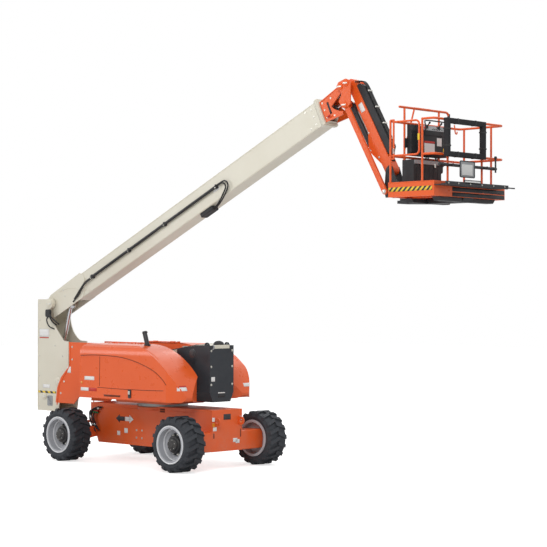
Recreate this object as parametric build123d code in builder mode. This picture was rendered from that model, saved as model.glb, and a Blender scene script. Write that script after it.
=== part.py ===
from build123d import *
import os
from math import atan2, cos, degrees, hypot, radians, sin, sqrt

# Self-propelled articulating boom lift: four-wheel chassis, slewing turntable, telescopic
# tower boom, levelled upright, telescopic main boom, jib and work platform.
# Millimetres. +X points to the drive end and the platform, +Y to the left, +Z up.
# Heights are from the ground. Lengths along X are from the slewing axis, which stands
# SLEW_X from the model's origin at the middle of the machine's length.

os.makedirs("parts", exist_ok=True)

SLEW_X = -1960.0
SEAT = 0.3                      # running clearance of a seated moving joint
PLATE = 16.0                    # structural plate

# chassis and wheels
WHEELBASE = 3050.0
TRACK = 2060.0
TYRE_R = 494.0
TYRE_WIDTH = 446.0
RIM_R = 335.0                   # rim flange
BARREL_R = 300.0                # rim barrel, outside
RIM_WALL = 12.0
HUB_R = 138.0
HUB_FACE_Y = 930.0              # wheel mounting face of an axle end
DISC = 20.0
HUB_OUT_Y = 1130.0
AXLE_X = WHEELBASE / 2
CHASSIS_W = 760.0
CHASSIS_TOP = 1060.0
CHASSIS_BOTTOM = 320.0
CHASSIS_REAR = -AXLE_X - 75     # steer end plate
CHASSIS_FRONT = AXLE_X + 165    # drive end plate
NOTCH_X = -AXLE_X + 110         # pocket for the oscillating steer axle
NOTCH_Z = 690.0
AXLE_BOX_Z = (320.0, 668.0)
AXLE_BOX_X = (AXLE_X - 155, CHASSIS_FRONT)
KINGPIN_Y = 780.0
KINGPIN_R = 34.0
BEAM_X = (-AXLE_X - 95, -AXLE_X + 95)
BEAM_Z = (372.0, 616.0)
KNUCKLE_HALF = 96.0             # knuckle eye above and below the wheel axis
FORK_PLATE = 34.0
STEER_ARM = 190.0
STEER_ARM_Z = 630.0
STEER_ARM_T = 25.0
STEER_ROD_X = -AXLE_X - STEER_ARM
STEER_ROD_Y = KINGPIN_Y - 70.0  # rod end
STEER_ROD_Z = 690.0
STEER_ROD_R = 24.0
TIE_EYE_R = 34.0
TIE_EYE_Y = 300.0
TIE_EYE_Z = 850.0
LUG_COUNT = 17                  # tread lugs in each of a tyre's two rows
LUG_DEPTH = 32.0
LUG_WIDTH = 66.0
LUG_SLANT = 140.0               # shift of a lug round the tyre between its inner and outer end
SHOULDER = 44.0                 # bevelled width at a lug's outer end

# turntable
RING_R = 470.0
RING_BORE_R = 380.0
RING_TOP = 1112.0
BASE_PLATE = 38.0
SIDE_Y = 450.0                  # middle of a turntable side plate
SIDE_PLATE = 24.0
DECK_Z = RING_TOP + SEAT        # underside of the turntable
WEIGHT_X = (980.0, 1550.0)
WEIGHT_Z = (1190.0, 2200.0)
WEIGHT_HALF_W = 300.0
WEIGHT_SLOT = 200.0             # half width of the slot round the tower boom's foot
WEIGHT_SLOT_Z = 1800.0
WEIGHT_FACE = 90.0
WEIGHT_NOTCH_Z = 2145.0
CHEEK_X = 700.0                 # rear end of the counterweight's upper cheeks
HOOD_OUT_Y = 1150.0
HOOD_IN_Y = 478.0
HOOD_Z = (1215.0, 2205.0)
HOOD_REAR = -1020.0
HOOD_SHORT = 300.0              # the left hood ends this much earlier
HOOD_EDGE_R = 200.0             # rounded upper outer edge
HOOD_WALL = 6.0
HINGE_R = 9.0
HINGE_Y = 492.0
HINGE_Z = HOOD_Z[1] + HINGE_R + 2.0
HINGE_X = (-960.0, -80.0)
HINGE_EAR = 12.0
HINGE_KNUCKLES = (-800.0, -320.0)
TRAY_Z = 1225.0                 # floor trays inside the hoods
TRAY_T = 12.0
BAY_HALF_W = 300.0
STACK_X = 450.0
STACK_Y = -800.0
STACK_R = 42.0
STACK_H = 250.0

# tower boom: from its foot pin down and back to the upright
TOWER_X = 1280.0
TOWER_Z = 2060.0
UPRIGHT_X = -2750.0
UPRIGHT_Z = 1400.0
TOWER_W = 290.0
TOWER_H = 340.0
TOWER_WALL = 8.0
TOWER_FLY_GAP = 24.0
TOWER_PIN_R = 45.0
TOWER_END_GAP = 470.0           # from the upright's pin back to the mouth of the base section
TOWER_FLY_TAIL = 500.0
TOWER_CYL_X = 850.0             # base pin of the tower lift cylinder
TOWER_CYL_Z = 1300.0
TOWER_CYL_PIN_R = 32.0
TOWER_CYL_S = 1800.0            # its rod eye, along and below the tower boom
TOWER_CYL_OFF = 240.0

# upright
UPRIGHT_HALF_W = 240.0
UPRIGHT_PLATE = 16.0
UPRIGHT_BACK = -3390.0
UPRIGHT_TOP = 3010.0
UPRIGHT_BOTTOM = 820.0
UPRIGHT_FRONT = -2445.0
UPRIGHT_SHOULDER = 2190.0

# main boom
BOOM_X = -3040.0
BOOM_Z = 2920.0
BOOM_ANGLE = 25.15
BOOM_W = 290.0
BOOM_TOP = 168.0                # base section above and below the line through its pin
BOOM_BOTTOM = -270.0
BOOM_WALL = 7.0
BOOM_LENGTH = 7800.0
BOOM_TAIL = 60.0
BOOM_PIN_R = 40.0
COLLAR = 36.0
COLLAR_LIP = 22.0
FLY_W = 236.0
FLY_TOP = 112.0
FLY_BOTTOM = -258.0
FLY_WALL = 6.0
FLY_TAIL = 900.0
FLY_CORNER = 60.0
FLY_END = BOOM_LENGTH + 130
LIFT_BASE_X = -3180.0
LIFT_BASE_Z = 1100.0
LIFT_EYE_X = -2664.0
LIFT_EYE_Z = 2884.0
LIFT_BARREL_R = 78.0
LIFT_ROD_R = 40.0
LIFT_PIN_R = 38.0
NOSE_START = FLY_END - 85
NOSE_TOP_END = FLY_END + 210
LEVEL_BASE_S = FLY_END - 330    # levelling cylinder, along and off the main boom's line
LEVEL_OFF = -90.0
LEVEL_REACH = 690.0
LEVEL_PIN_R = 18.0

# boom head and jib
HEAD_S = FLY_END + 485.0        # levelling pin, along and off the main boom's line
HEAD_OFF = 93.0
HEAD_PIN_X = BOOM_X + HEAD_S * cos(radians(BOOM_ANGLE)) - HEAD_OFF * sin(radians(BOOM_ANGLE))
HEAD_PIN_Z = BOOM_Z + HEAD_S * sin(radians(BOOM_ANGLE)) + HEAD_OFF * cos(radians(BOOM_ANGLE))
ARM_X = HEAD_PIN_X + 127        # jib arm's upper pin
ARM_Z = HEAD_PIN_Z + 50
ARM_RUN = 845.0                 # jib arm from its upper to its lower pin
ARM_DROP = 1475.0
ARM_END_X = ARM_X + ARM_RUN
ARM_END_Z = ARM_Z - ARM_DROP
LINK_BACK = 30.0                # jib link's pins, behind and below the arm's
LINK_DROP = 360.0
LINK_X = ARM_X - LINK_BACK
LINK_Z = ARM_Z - LINK_DROP
JIB_PIN_R = 26.0
ARM_W = 150.0
ARM_H = 160.0
LINK_Y = 164.0                  # middle of a link bar
LINK_T = 34.0
LINK_H = 96.0
GUARD_H = 130.0                 # hose guard on the jib arm
GUARD_HALF_W = 58.0
JIB_CYL_EYE_S = 1200.0          # jib cylinder's rod eye, along and off the arm
JIB_CYL_EYE_OFF = -195.0
JIB_BARREL_R = 48.0
JIB_ROD_R = 25.0
HEAD_HALF_W = 205.0
HEAD_PLATE = 18.0
NOSE_PLATE = 20.0

# platform
ROTATOR_X = ARM_END_X + 290
ROTATOR_R = 125.0
ROTATOR_Z = (ARM_END_Z - 455, ARM_END_Z - 225)
DECK_REAR = ROTATOR_X + 370
DECK_DEPTH = 910.0
DECK_X = (DECK_REAR, DECK_REAR + DECK_DEPTH)
DECK_HALF_W = 915.0
FLOOR_Z = ROTATOR_Z[0] + 20
FLOOR_FRAME = 80.0
FLOOR_T = 5.0
TREAD_T = 3.0
TOE_H = 155.0
TOE_Z = FLOOR_Z + TOE_H
TOE_T = 5.0
RAIL_R = 19.0
POST_R = 17.5
RAIL_BEND = 50.0                # rail corners in plan
TOP_RAIL_Z = FLOOR_Z + 1115
MID_RAIL_Z = FLOOR_Z + 570
HIGH_RAIL_Z = FLOOR_Z + 1365    # hoop over the controls
HOOP_Y = (-545.0, 335.0)
GATE_R = 16.0
GATE_BEND = 70.0
GATE_HINGE_X = DECK_REAR + 90
GATE_END_X = GATE_HINGE_X + 510
GATE_POST_X = GATE_END_X + 60   # post that the gate shuts against
GATE_EAR_T = 18.0
GATE_LOW = MID_RAIL_Z + 2
GATE_HIGH = TOP_RAIL_Z - 15
GATE_EARS = (GATE_LOW - 58, GATE_HIGH + 24)
PAD_R = 50.0
PAD_Y = (-645.0, 255.0)
PAD_Z = (FLOOR_Z + 580, FLOOR_Z + 1080)
PAD_BEND = 90.0
BAR_R = 24.0                    # clamp bar in front of the rails
BAR_Z = FLOOR_Z + 405
BAR_Y = (-820.0, 640.0)
TRAY_LOW = FLOOR_Z + 80
TRAY_DEPTH = 230.0
TRAY_Y = (-915.0, 700.0)


def side(y=0.0):
    """Plane along the machine: local x forward from the slewing axis, local y up."""
    return Plane(origin=(SLEW_X, y, 0), x_dir=(1, 0, 0), z_dir=(0, -1, 0))


def across(x):
    """Plane across the machine at x: local x to the left, local y up."""
    return Plane(origin=(SLEW_X + x, 0, 0), x_dir=(0, 1, 0), z_dir=(1, 0, 0))


def level(z):
    """Horizontal plane at height z, on the slewing axis."""
    return Plane(origin=(SLEW_X, 0, z))


def tilted(x, z, angle, y=0.0):
    """Side plane with its origin at (x, z) and its local x turned up by angle degrees."""
    lean = radians(angle)
    return Plane(origin=(SLEW_X + x, y, z), x_dir=(cos(lean), 0, sin(lean)), z_dir=(0, -1, 0))


def line_angle(x0, z0, x1, z1):
    """Angle in degrees of the line from the first point to the second."""
    return degrees(atan2(z1 - z0, x1 - x0))


def save(piece, name):
    """Label a finished piece and write its file."""
    piece.part.label = name
    export_step(piece.part, f"parts/{name}.step")


def pin(x, z, radius, half_length):
    """Cylinder across the machine, through both sides of the plane y = 0."""
    with BuildSketch(side()) as section:
        with Locations((x, z)):
            Circle(radius)
    extrude(section.sketch, amount=half_length, both=True)


def bore(x, z, radius, half_length):
    """Hole across the machine."""
    with BuildSketch(side()) as section:
        with Locations((x, z)):
            Circle(radius)
    extrude(section.sketch, amount=half_length, both=True, mode=Mode.SUBTRACT)


# ---------------------------------------------------------------- chassis

chassis_outline = [
    (CHASSIS_REAR, CHASSIS_TOP),
    (CHASSIS_FRONT, CHASSIS_TOP),
    (CHASSIS_FRONT, CHASSIS_BOTTOM),
    (NOTCH_X + 40, CHASSIS_BOTTOM),
    (NOTCH_X, CHASSIS_BOTTOM + 90),
    (NOTCH_X, NOTCH_Z),
    (CHASSIS_REAR, NOTCH_Z + 40),
]
with BuildPart() as chassis_frame:
    with BuildSketch(side()):
        Polygon(*chassis_outline, align=None)
    extrude(amount=CHASSIS_W / 2, both=True)
    with BuildSketch(side()):
        Polygon(*chassis_outline, align=None)
        offset(amount=-PLATE, mode=Mode.REPLACE)
    extrude(amount=CHASSIS_W / 2 - PLATE, both=True, mode=Mode.SUBTRACT)
    # ring seat under the slewing bearing
    with BuildSketch(level(CHASSIS_TOP - PLATE)):
        Circle(RING_R)
        Circle(RING_BORE_R, mode=Mode.SUBTRACT)
    extrude(amount=-60)
    # trunnion plate in front of the oscillating axle's pin
    with BuildSketch(across(BEAM_X[0])):
        with Locations((0, (BEAM_Z[1] + NOTCH_Z + 80) / 2)):
            Rectangle(280, NOTCH_Z + 120 - BEAM_Z[1] + 40)
    extrude(amount=-20)
    with BuildSketch(across(BEAM_X[0] - 20)):
        with Locations((0, NOTCH_Z + 90)):
            Rectangle(280, 100)
    extrude(amount=CHASSIS_REAR - BEAM_X[0] + 20)
    # tie-down eyes on the drive end
    for y in (-TIE_EYE_Y, TIE_EYE_Y):
        with BuildSketch(side(y)):
            with Locations((CHASSIS_FRONT + 55, TIE_EYE_Z)):
                Circle(75)
            with Locations((CHASSIS_FRONT + 10, TIE_EYE_Z)):
                Rectangle(60, 150)
            with Locations((CHASSIS_FRONT + 60, TIE_EYE_Z)):
                Circle(TIE_EYE_R, mode=Mode.SUBTRACT)
            with Locations((CHASSIS_FRONT - 40, TIE_EYE_Z)):
                Rectangle(80, 200, mode=Mode.SUBTRACT)
        extrude(amount=12, both=True)
save(chassis_frame, "chassis_frame")

with BuildPart() as drive_axle:
    for end in (-1, 1):
        with BuildSketch(side(end * CHASSIS_W / 2)):
            with Locations(((AXLE_BOX_X[0] + AXLE_BOX_X[1]) / 2, (AXLE_BOX_Z[0] + AXLE_BOX_Z[1]) / 2)):
                RectangleRounded(AXLE_BOX_X[1] - AXLE_BOX_X[0], AXLE_BOX_Z[1] - AXLE_BOX_Z[0], 24)
        extrude(amount=-end * (HUB_FACE_Y - 20 - CHASSIS_W / 2))
        with BuildSketch(side(end * (HUB_FACE_Y - 20))):
            with Locations((AXLE_X, TYRE_R)):
                Circle(HUB_R + 20)
        extrude(amount=-end * 20)
save(drive_axle, "drive_axle")

with BuildPart() as steer_axle:
    with BuildSketch(across(BEAM_X[0])):
        half = KINGPIN_Y - 80
        Polygon(
            (-half, BEAM_Z[1]), (half, BEAM_Z[1]), (half, BEAM_Z[0]), (420, BEAM_Z[0] + 50),
            (-420, BEAM_Z[0] + 50), (-half, BEAM_Z[0]), align=None,
        )
    extrude(amount=BEAM_X[1] - BEAM_X[0])
    # boss that carries the axle on the chassis
    with BuildSketch(across(BEAM_X[1])):
        with Locations((0, (BEAM_Z[0] + BEAM_Z[1]) / 2 + 30)):
            Circle(95)
    extrude(amount=NOTCH_X - BEAM_X[1])
    # kingpin forks
    for end in (-1, 1):
        for z in (TYRE_R + KNUCKLE_HALF + 1, TYRE_R - KNUCKLE_HALF - 1 - FORK_PLATE):
            with BuildSketch(level(z)):
                with Locations((-AXLE_X, end * (KINGPIN_Y - 60))):
                    Rectangle(150, 120)
                with Locations((-AXLE_X, end * KINGPIN_Y)):
                    Circle(75)
                    Circle(KINGPIN_R + SEAT, mode=Mode.SUBTRACT)
            extrude(amount=FORK_PLATE)
    # steering cylinder and its brackets
    for y in (-190.0, 190.0):
        with BuildSketch(side(y)):
            Polygon(
                (-AXLE_X - 35, BEAM_Z[1]), (-AXLE_X - 35, 650), (STEER_ROD_X + 55, 720), (STEER_ROD_X, 720),
                (STEER_ROD_X, 650), (BEAM_X[0], 580), (BEAM_X[0] + 20, 580), align=None,
            )
        extrude(amount=15, both=True)
    with BuildSketch(side()):
        with Locations((STEER_ROD_X, STEER_ROD_Z)):
            Circle(52)
    extrude(amount=260, both=True)
    with BuildSketch(side()):
        with Locations((STEER_ROD_X, STEER_ROD_Z)):
            Circle(STEER_ROD_R + SEAT)
    extrude(amount=261, both=True, mode=Mode.SUBTRACT)
save(steer_axle, "steer_axle")

with BuildPart() as steer_rod:
    with BuildSketch(side()):
        with Locations((STEER_ROD_X, STEER_ROD_Z)):
            Circle(STEER_ROD_R)
    extrude(amount=STEER_ROD_Y, both=True)
    for end in (-1, 1):
        with BuildSketch(level(STEER_ARM_Z + STEER_ARM_T + 6)):
            with Locations((STEER_ROD_X, end * STEER_ROD_Y)):
                Circle(34)
        extrude(amount=58)
save(steer_rod, "steer_rod")

for side_name, end in (("left", 1), ("right", -1)):
    with BuildPart() as knuckle:
        with BuildSketch(level(TYRE_R - KNUCKLE_HALF)):
            with Locations((-AXLE_X, end * KINGPIN_Y)):
                Circle(68)
            with Locations((-AXLE_X, end * (KINGPIN_Y + 55))):
                Rectangle(130, 110)
        extrude(amount=2 * KNUCKLE_HALF)
        with BuildSketch(level(TYRE_R - KNUCKLE_HALF - FORK_PLATE - 6)):
            with Locations((-AXLE_X, end * KINGPIN_Y)):
                Circle(KINGPIN_R)
        extrude(amount=STEER_ARM_Z + STEER_ARM_T - (TYRE_R - KNUCKLE_HALF - FORK_PLATE - 6))
        with BuildSketch(side(end * (KINGPIN_Y + 105))):
            with Locations((-AXLE_X, TYRE_R)):
                Circle(HUB_R)
        extrude(amount=-end * (HUB_FACE_Y - KINGPIN_Y - 105))
        # steering arm on top of the kingpin
        with BuildSketch(level(STEER_ARM_Z)):
            with Locations((-AXLE_X, end * KINGPIN_Y)):
                Circle(58)
            with Locations((STEER_ROD_X, end * STEER_ROD_Y)):
                Circle(40)
            Polygon(
                (-AXLE_X, end * (KINGPIN_Y + 50)), (STEER_ROD_X, end * (STEER_ROD_Y + 36)),
                (STEER_ROD_X, end * (STEER_ROD_Y - 36)), (-AXLE_X, end * (KINGPIN_Y - 50)), align=None,
            )
        extrude(amount=STEER_ARM_T)
    save(knuckle, f"knuckle_{side_name}")

wheels = [
    # name, x, side
    ("drive_left", AXLE_X, 1),
    ("drive_right", AXLE_X, -1),
    ("steer_left", -AXLE_X, 1),
    ("steer_right", -AXLE_X, -1),
]
wheel_y = TRACK / 2
bead = TYRE_WIDTH / 2 - 20      # half width of the rim between its flanges
# a lug's farthest corner lies on the tyre's radius, and one such corner stands on the ground
lug_reach = LUG_SLANT / 2
lug_top = sqrt(TYRE_R ** 2 - lug_reach ** 2)
lug_phase = 180.0 + degrees(atan2(lug_reach, lug_top))
for name, x, end in wheels:
    axis = Axis((SLEW_X + x, 0, TYRE_R), (0, 1, 0))
    # profiles are drawn across the machine, radius above the wheel's axis
    wheel_plane = Plane(origin=(SLEW_X + x, 0, TYRE_R), x_dir=(0, end, 0), z_dir=(end, 0, 0))
    with BuildPart() as rim:
        with BuildSketch(wheel_plane):
            Polygon(
                (wheel_y - bead - RIM_WALL, BARREL_R - RIM_WALL),
                (wheel_y - bead - RIM_WALL, RIM_R),
                (wheel_y - bead, RIM_R),
                (wheel_y - bead, BARREL_R),
                (wheel_y + bead, BARREL_R),
                (wheel_y + bead, RIM_R),
                (wheel_y + bead + RIM_WALL, RIM_R),
                (wheel_y + bead + RIM_WALL, BARREL_R - RIM_WALL),
                align=None,
            )
            Polygon(
                (HUB_FACE_Y + SEAT, 0),
                (HUB_FACE_Y + SEAT, BARREL_R - RIM_WALL / 2),
                (HUB_FACE_Y + SEAT + DISC, BARREL_R - RIM_WALL / 2),
                (HUB_FACE_Y + SEAT + DISC, HUB_R),
                (HUB_OUT_Y - 12, HUB_R),
                (HUB_OUT_Y, HUB_R - 12),
                (HUB_OUT_Y, 0),
                align=None,
            )
        revolve(axis=axis)
    save(rim, f"rim_{name}")

    # one lug of each row, drawn on top of the wheel: flat, slanted, its outer end bevelled
    half_w = TYRE_WIDTH / 2
    hub = Plane(origin=(SLEW_X + x, end * wheel_y, TYRE_R), x_dir=(1, 0, 0), z_dir=(0, 0, 1))
    with BuildPart() as tyre:
        with BuildSketch(wheel_plane):
            Polygon(
                (wheel_y - bead + SEAT, BARREL_R + SEAT),
                (wheel_y - bead + SEAT, RIM_R + 4),
                (wheel_y - half_w + 8, RIM_R + 26),
                (wheel_y - half_w, TYRE_R - 100),
                (wheel_y - half_w + 34, TYRE_R - LUG_DEPTH - 8),
                (wheel_y + half_w - 34, TYRE_R - LUG_DEPTH - 8),
                (wheel_y + half_w, TYRE_R - 100),
                (wheel_y + half_w - 8, RIM_R + 26),
                (wheel_y + bead - SEAT, RIM_R + 4),
                (wheel_y + bead - SEAT, BARREL_R + SEAT),
                align=None,
            )
        revolve(axis=axis)
        for row in (-1, 1):
            with BuildPart(mode=Mode.PRIVATE) as lug:
                with BuildSketch(hub):
                    Polygon(
                        (-lug_reach, row * -12), (LUG_WIDTH - lug_reach, row * -12),
                        (lug_reach + 10, row * half_w), (lug_reach + 10 - LUG_WIDTH, row * half_w), align=None,
                    )
                extrude(amount=TYRE_R)
                with BuildSketch(Plane(origin=hub.origin, x_dir=(0, row, 0), z_dir=(row, 0, 0))):
                    Polygon(
                        (-12, TYRE_R - 110), (-12, lug_top), (half_w - SHOULDER, lug_top),
                        (half_w - 14, lug_top - 26), (half_w - 4, TYRE_R - 104), (half_w - 4, TYRE_R - 110),
                        align=None,
                    )
                extrude(amount=lug_reach + 60, both=True, mode=Mode.INTERSECT)
            for step in range(LUG_COUNT):
                add(lug.part.rotate(axis, lug_phase + (step + 0.25 * (1 - row)) * 360.0 / LUG_COUNT))
    save(tyre, f"tyre_{name}")

# ---------------------------------------------------------------- turntable

with BuildPart() as slew_ring:
    with BuildSketch(level(CHASSIS_TOP)):
        Circle(RING_R)
        Circle(RING_BORE_R, mode=Mode.SUBTRACT)
    extrude(amount=RING_TOP - CHASSIS_TOP)
save(slew_ring, "slew_ring")

tail_outline = [
    (-2560, DECK_Z - 100),
    (-2510, 1310),
    (-2400, 1505),
    (-2150, 1740),
    (-2165, 2190),
    (200, 2190),
    (760, 2060),
    (960, 1900),
    (960, 1215),
    (600, DECK_Z),
    (-760, DECK_Z),
    (-860, 1215),
    (-1790, 1215),
    (-2010, DECK_Z - 100),
]
bracket_y = WEIGHT_SLOT - SIDE_PLATE / 2 - 4
with BuildPart() as turntable_frame:
    with BuildSketch(level(DECK_Z)):
        with Locations((-75, 0)):
            Rectangle(1330, 2 * SIDE_Y)
        Circle(120, mode=Mode.SUBTRACT)
    extrude(amount=BASE_PLATE)
    for end in (-1, 1):
        with BuildSketch(side(end * SIDE_Y)):
            Polygon(*tail_outline, align=None)
        extrude(amount=SIDE_PLATE / 2, both=True)
        # hood hinge pin and its two brackets
        with BuildSketch(across(HINGE_X[0])):
            with Locations((end * HINGE_Y, HINGE_Z)):
                Circle(HINGE_R)
        extrude(amount=HINGE_X[1] - HINGE_X[0])
        for x in HINGE_X:
            with BuildSketch(across(x)):
                with Locations((end * (SIDE_Y + HINGE_Y) / 2, HINGE_Z - 30)):
                    Rectangle(HINGE_Y - SIDE_Y + 2 * HINGE_R + 6, 90)
            extrude(amount=HINGE_EAR)
        # foot brackets of the tower boom, which line the counterweight's slot
        with BuildSketch(side(end * bracket_y)):
            Polygon(
                (250, DECK_Z), (590, DECK_Z), (700, 1205), (WEIGHT_X[0] - 2, 1205),
                (WEIGHT_X[0] - 2, WEIGHT_SLOT_Z + 2), (TOWER_X + 90, WEIGHT_SLOT_Z + 2),
                (TOWER_X + 90, TOWER_Z + 40), (TOWER_X + 45, TOWER_Z + 85), (TOWER_X - 60, TOWER_Z + 85),
                (700, 1900), (250, 1500), align=None,
            )
        extrude(amount=SIDE_PLATE / 2, both=True)
    bore(TOWER_X, TOWER_Z, TOWER_PIN_R + SEAT, WEIGHT_SLOT)
    # tie between the side plates at the tail, under the tower boom
    with BuildSketch(level(1215)):
        with Locations((-1500, 0)):
            Rectangle(500, 2 * SIDE_Y)
    extrude(amount=SIDE_PLATE)
    # plate that the counterweight bolts to
    with BuildSketch(across(WEIGHT_X[0] - SIDE_PLATE)):
        with Locations((0, 1500)):
            Rectangle(2 * SIDE_Y, 570)
    extrude(amount=SIDE_PLATE)
    # base pin of the tower cylinder
    pin(TOWER_CYL_X, TOWER_CYL_Z, TOWER_CYL_PIN_R, bracket_y)
save(turntable_frame, "turntable_frame")

with BuildPart() as counterweight:
    with BuildSketch(across(WEIGHT_X[0])):
        Polygon(
            (-WEIGHT_HALF_W, WEIGHT_Z[1]), (WEIGHT_HALF_W, WEIGHT_Z[1]),
            (WEIGHT_HALF_W, WEIGHT_Z[0] + 175), (WEIGHT_HALF_W - 80, WEIGHT_Z[0]),
            (-WEIGHT_HALF_W + 80, WEIGHT_Z[0]), (-WEIGHT_HALF_W, WEIGHT_Z[0] + 175), align=None,
        )
    extrude(amount=WEIGHT_X[1] - WEIGHT_X[0])
    # slot round the boom's foot, closed in front by the face wall
    with BuildSketch(across(WEIGHT_X[0])):
        with Locations((0, (WEIGHT_SLOT_Z + WEIGHT_Z[1]) / 2)):
            Rectangle(2 * WEIGHT_SLOT, WEIGHT_Z[1] - WEIGHT_SLOT_Z)
    extrude(amount=WEIGHT_X[1] - WEIGHT_X[0] - WEIGHT_FACE, mode=Mode.SUBTRACT)
    with BuildSketch(across(WEIGHT_X[0])):
        with Locations((0, (WEIGHT_NOTCH_Z + WEIGHT_Z[1]) / 2)):
            Rectangle(2 * WEIGHT_SLOT, WEIGHT_Z[1] - WEIGHT_NOTCH_Z)
    extrude(amount=WEIGHT_X[1] - WEIGHT_X[0], mode=Mode.SUBTRACT)
    # cheeks beside the boom's foot, sloping down to the rear
    for end in (-1, 1):
        with BuildSketch(side(end * (WEIGHT_SLOT + WEIGHT_HALF_W) / 2)):
            Polygon(
                (WEIGHT_X[0] + 260, WEIGHT_Z[1]), (CHEEK_X, WEIGHT_Z[1] - 75), (CHEEK_X, WEIGHT_SLOT_Z),
                (WEIGHT_X[0] + 10, WEIGHT_SLOT_Z), (WEIGHT_X[0] + 260, WEIGHT_SLOT_Z + 100), align=None,
            )
        extrude(amount=(WEIGHT_HALF_W - WEIGHT_SLOT) / 2, both=True)
    with BuildSketch(side()):
        Polygon(
            (WEIGHT_X[0] - 1, WEIGHT_Z[1] + 1), (WEIGHT_X[0] + 260, WEIGHT_Z[1] + 1),
            (WEIGHT_X[0] - 1, WEIGHT_Z[1] - 75 * 261 / (WEIGHT_X[0] + 260 - CHEEK_X)), align=None,
        )
    extrude(amount=WEIGHT_HALF_W + 1, both=True, mode=Mode.SUBTRACT)
    for y in (-WEIGHT_HALF_W + 50, WEIGHT_HALF_W - 50):
        with BuildSketch(side(y)):
            with Locations((1430, WEIGHT_Z[1])):
                Circle(55)
            with Locations((1430, WEIGHT_Z[1] - 30)):
                Rectangle(110, 60, mode=Mode.SUBTRACT)
            with Locations((1430, WEIGHT_Z[1] + 22)):
                Circle(18, mode=Mode.SUBTRACT)
        extrude(amount=14, both=True)
save(counterweight, "counterweight")

bay_y = SIDE_Y + SIDE_PLATE / 2 + BAY_HALF_W
with BuildPart() as engine_block:
    with BuildSketch(level(TRAY_Z)):
        with Locations((100, -bay_y)):
            Rectangle(900, 2 * BAY_HALF_W)
    extrude(amount=TRAY_T)
    with BuildSketch(level(TRAY_Z + TRAY_T)):
        with Locations((100, -bay_y)):
            Rectangle(820, 2 * BAY_HALF_W - 160)
    extrude(amount=600)
save(engine_block, "engine_block")

with BuildPart() as fluid_tanks:
    with BuildSketch(level(TRAY_Z)):
        with Locations((-180, bay_y)):
            Rectangle(1240, 2 * BAY_HALF_W)
    extrude(amount=TRAY_T)
    with BuildSketch(level(TRAY_Z + TRAY_T)):
        with Locations((-180, bay_y)):
            Rectangle(1180, 2 * BAY_HALF_W - 180)
    extrude(amount=520)
    with BuildSketch(level(TRAY_Z + TRAY_T + 5)):
        with Locations((-180, bay_y)):
            Rectangle(1170, 2 * BAY_HALF_W - 190)
    extrude(amount=510, mode=Mode.SUBTRACT)
save(fluid_tanks, "fluid_tanks")


def hood_form(end, inset, bottom, short):
    """A hood's outer form, or its hollow when inset is the wall: plan, side profile and cross-section."""
    rear = HOOD_REAR + inset
    inner = HOOD_IN_Y - 2 * inset
    outer = HOOD_OUT_Y - inset
    top = HOOD_Z[1] - inset
    front = -short - inset
    with BuildSketch(level(bottom)) as plan:
        with BuildLine():
            Line((rear, end * inner), (rear, end * outer))
            Line((rear, end * outer), (1120 - short, end * outer))
            ThreePointArc((1120 - short, end * outer), (1500 + front, end * (1065 - inset)), (1650 + front, end * 850))
            Line((1650 + front, end * 850), (1425 + front + short / 5, end * inner))
            Line((1425 + front + short / 5, end * inner), (rear, end * inner))
        make_face()
    extrude(plan.sketch, amount=top - bottom)
    with BuildSketch(side()) as profile:
        with BuildLine():
            Line((rear - 20, bottom), (rear - 20, top))
            Line((rear - 20, top), (200 - short, top))
            ThreePointArc((200 - short, top), (780 + front, 2105 - inset), (1200 + front, 1865 - inset))
            ThreePointArc((1200 + front, 1865 - inset), (1452 + front, 1615 - inset), (1600 + front, 1340))
            ThreePointArc((1600 + front, 1340), (1608 + front, 1270), (1560 + front, bottom))
            Line((1560 + front, bottom), (rear - 20, bottom))
        make_face()
    extrude(profile.sketch, amount=outer + 20, both=True, mode=Mode.INTERSECT)
    # the upper outer edge is rounded
    edge = HOOD_EDGE_R - inset
    with BuildSketch(across(rear - 1)) as section:
        with BuildLine():
            Line((0, bottom), (end * outer, bottom))
            Line((end * outer, bottom), (end * outer, top - edge))
            ThreePointArc(
                (end * outer, top - edge), (end * (outer - edge * 0.25), top - edge * 0.36),
                (end * (outer - edge), top - 10),
            )
            Line((end * (outer - edge), top - 10), (end * inner, top))
            Line((end * inner, top), (0, top))
            Line((0, top), (0, bottom))
        make_face()
    extrude(section.sketch, amount=3000, mode=Mode.INTERSECT)


for side_name, end, short in (("left", 1, HOOD_SHORT), ("right", -1, 0.0)):
    with BuildPart() as hood_hollow:
        hood_form(end, HOOD_WALL, HOOD_Z[0] - 10, short)
    with BuildPart() as hood:
        hood_form(end, 0.0, HOOD_Z[0], short)
        add(hood_hollow.part, mode=Mode.SUBTRACT)
        # room for the hinge ears
        for x in HINGE_X:
            with BuildSketch(across(x - 8)):
                with Locations((end * (HINGE_Y - 4), HOOD_Z[1] - 40)):
                    Rectangle(64, 100)
            extrude(amount=HINGE_EAR + 16, mode=Mode.SUBTRACT)
        # hinge knuckles round the pin
        for x in HINGE_KNUCKLES:
            with BuildSketch(across(x)):
                with Locations((end * HINGE_Y, HINGE_Z)):
                    Circle(HINGE_R + 8)
            extrude(amount=120)
            with BuildSketch(across(x)):
                with Locations((end * HINGE_Y, HINGE_Z)):
                    Circle(HINGE_R + SEAT)
            extrude(amount=120, mode=Mode.SUBTRACT)
    save(hood, f"hood_{side_name}")

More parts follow.
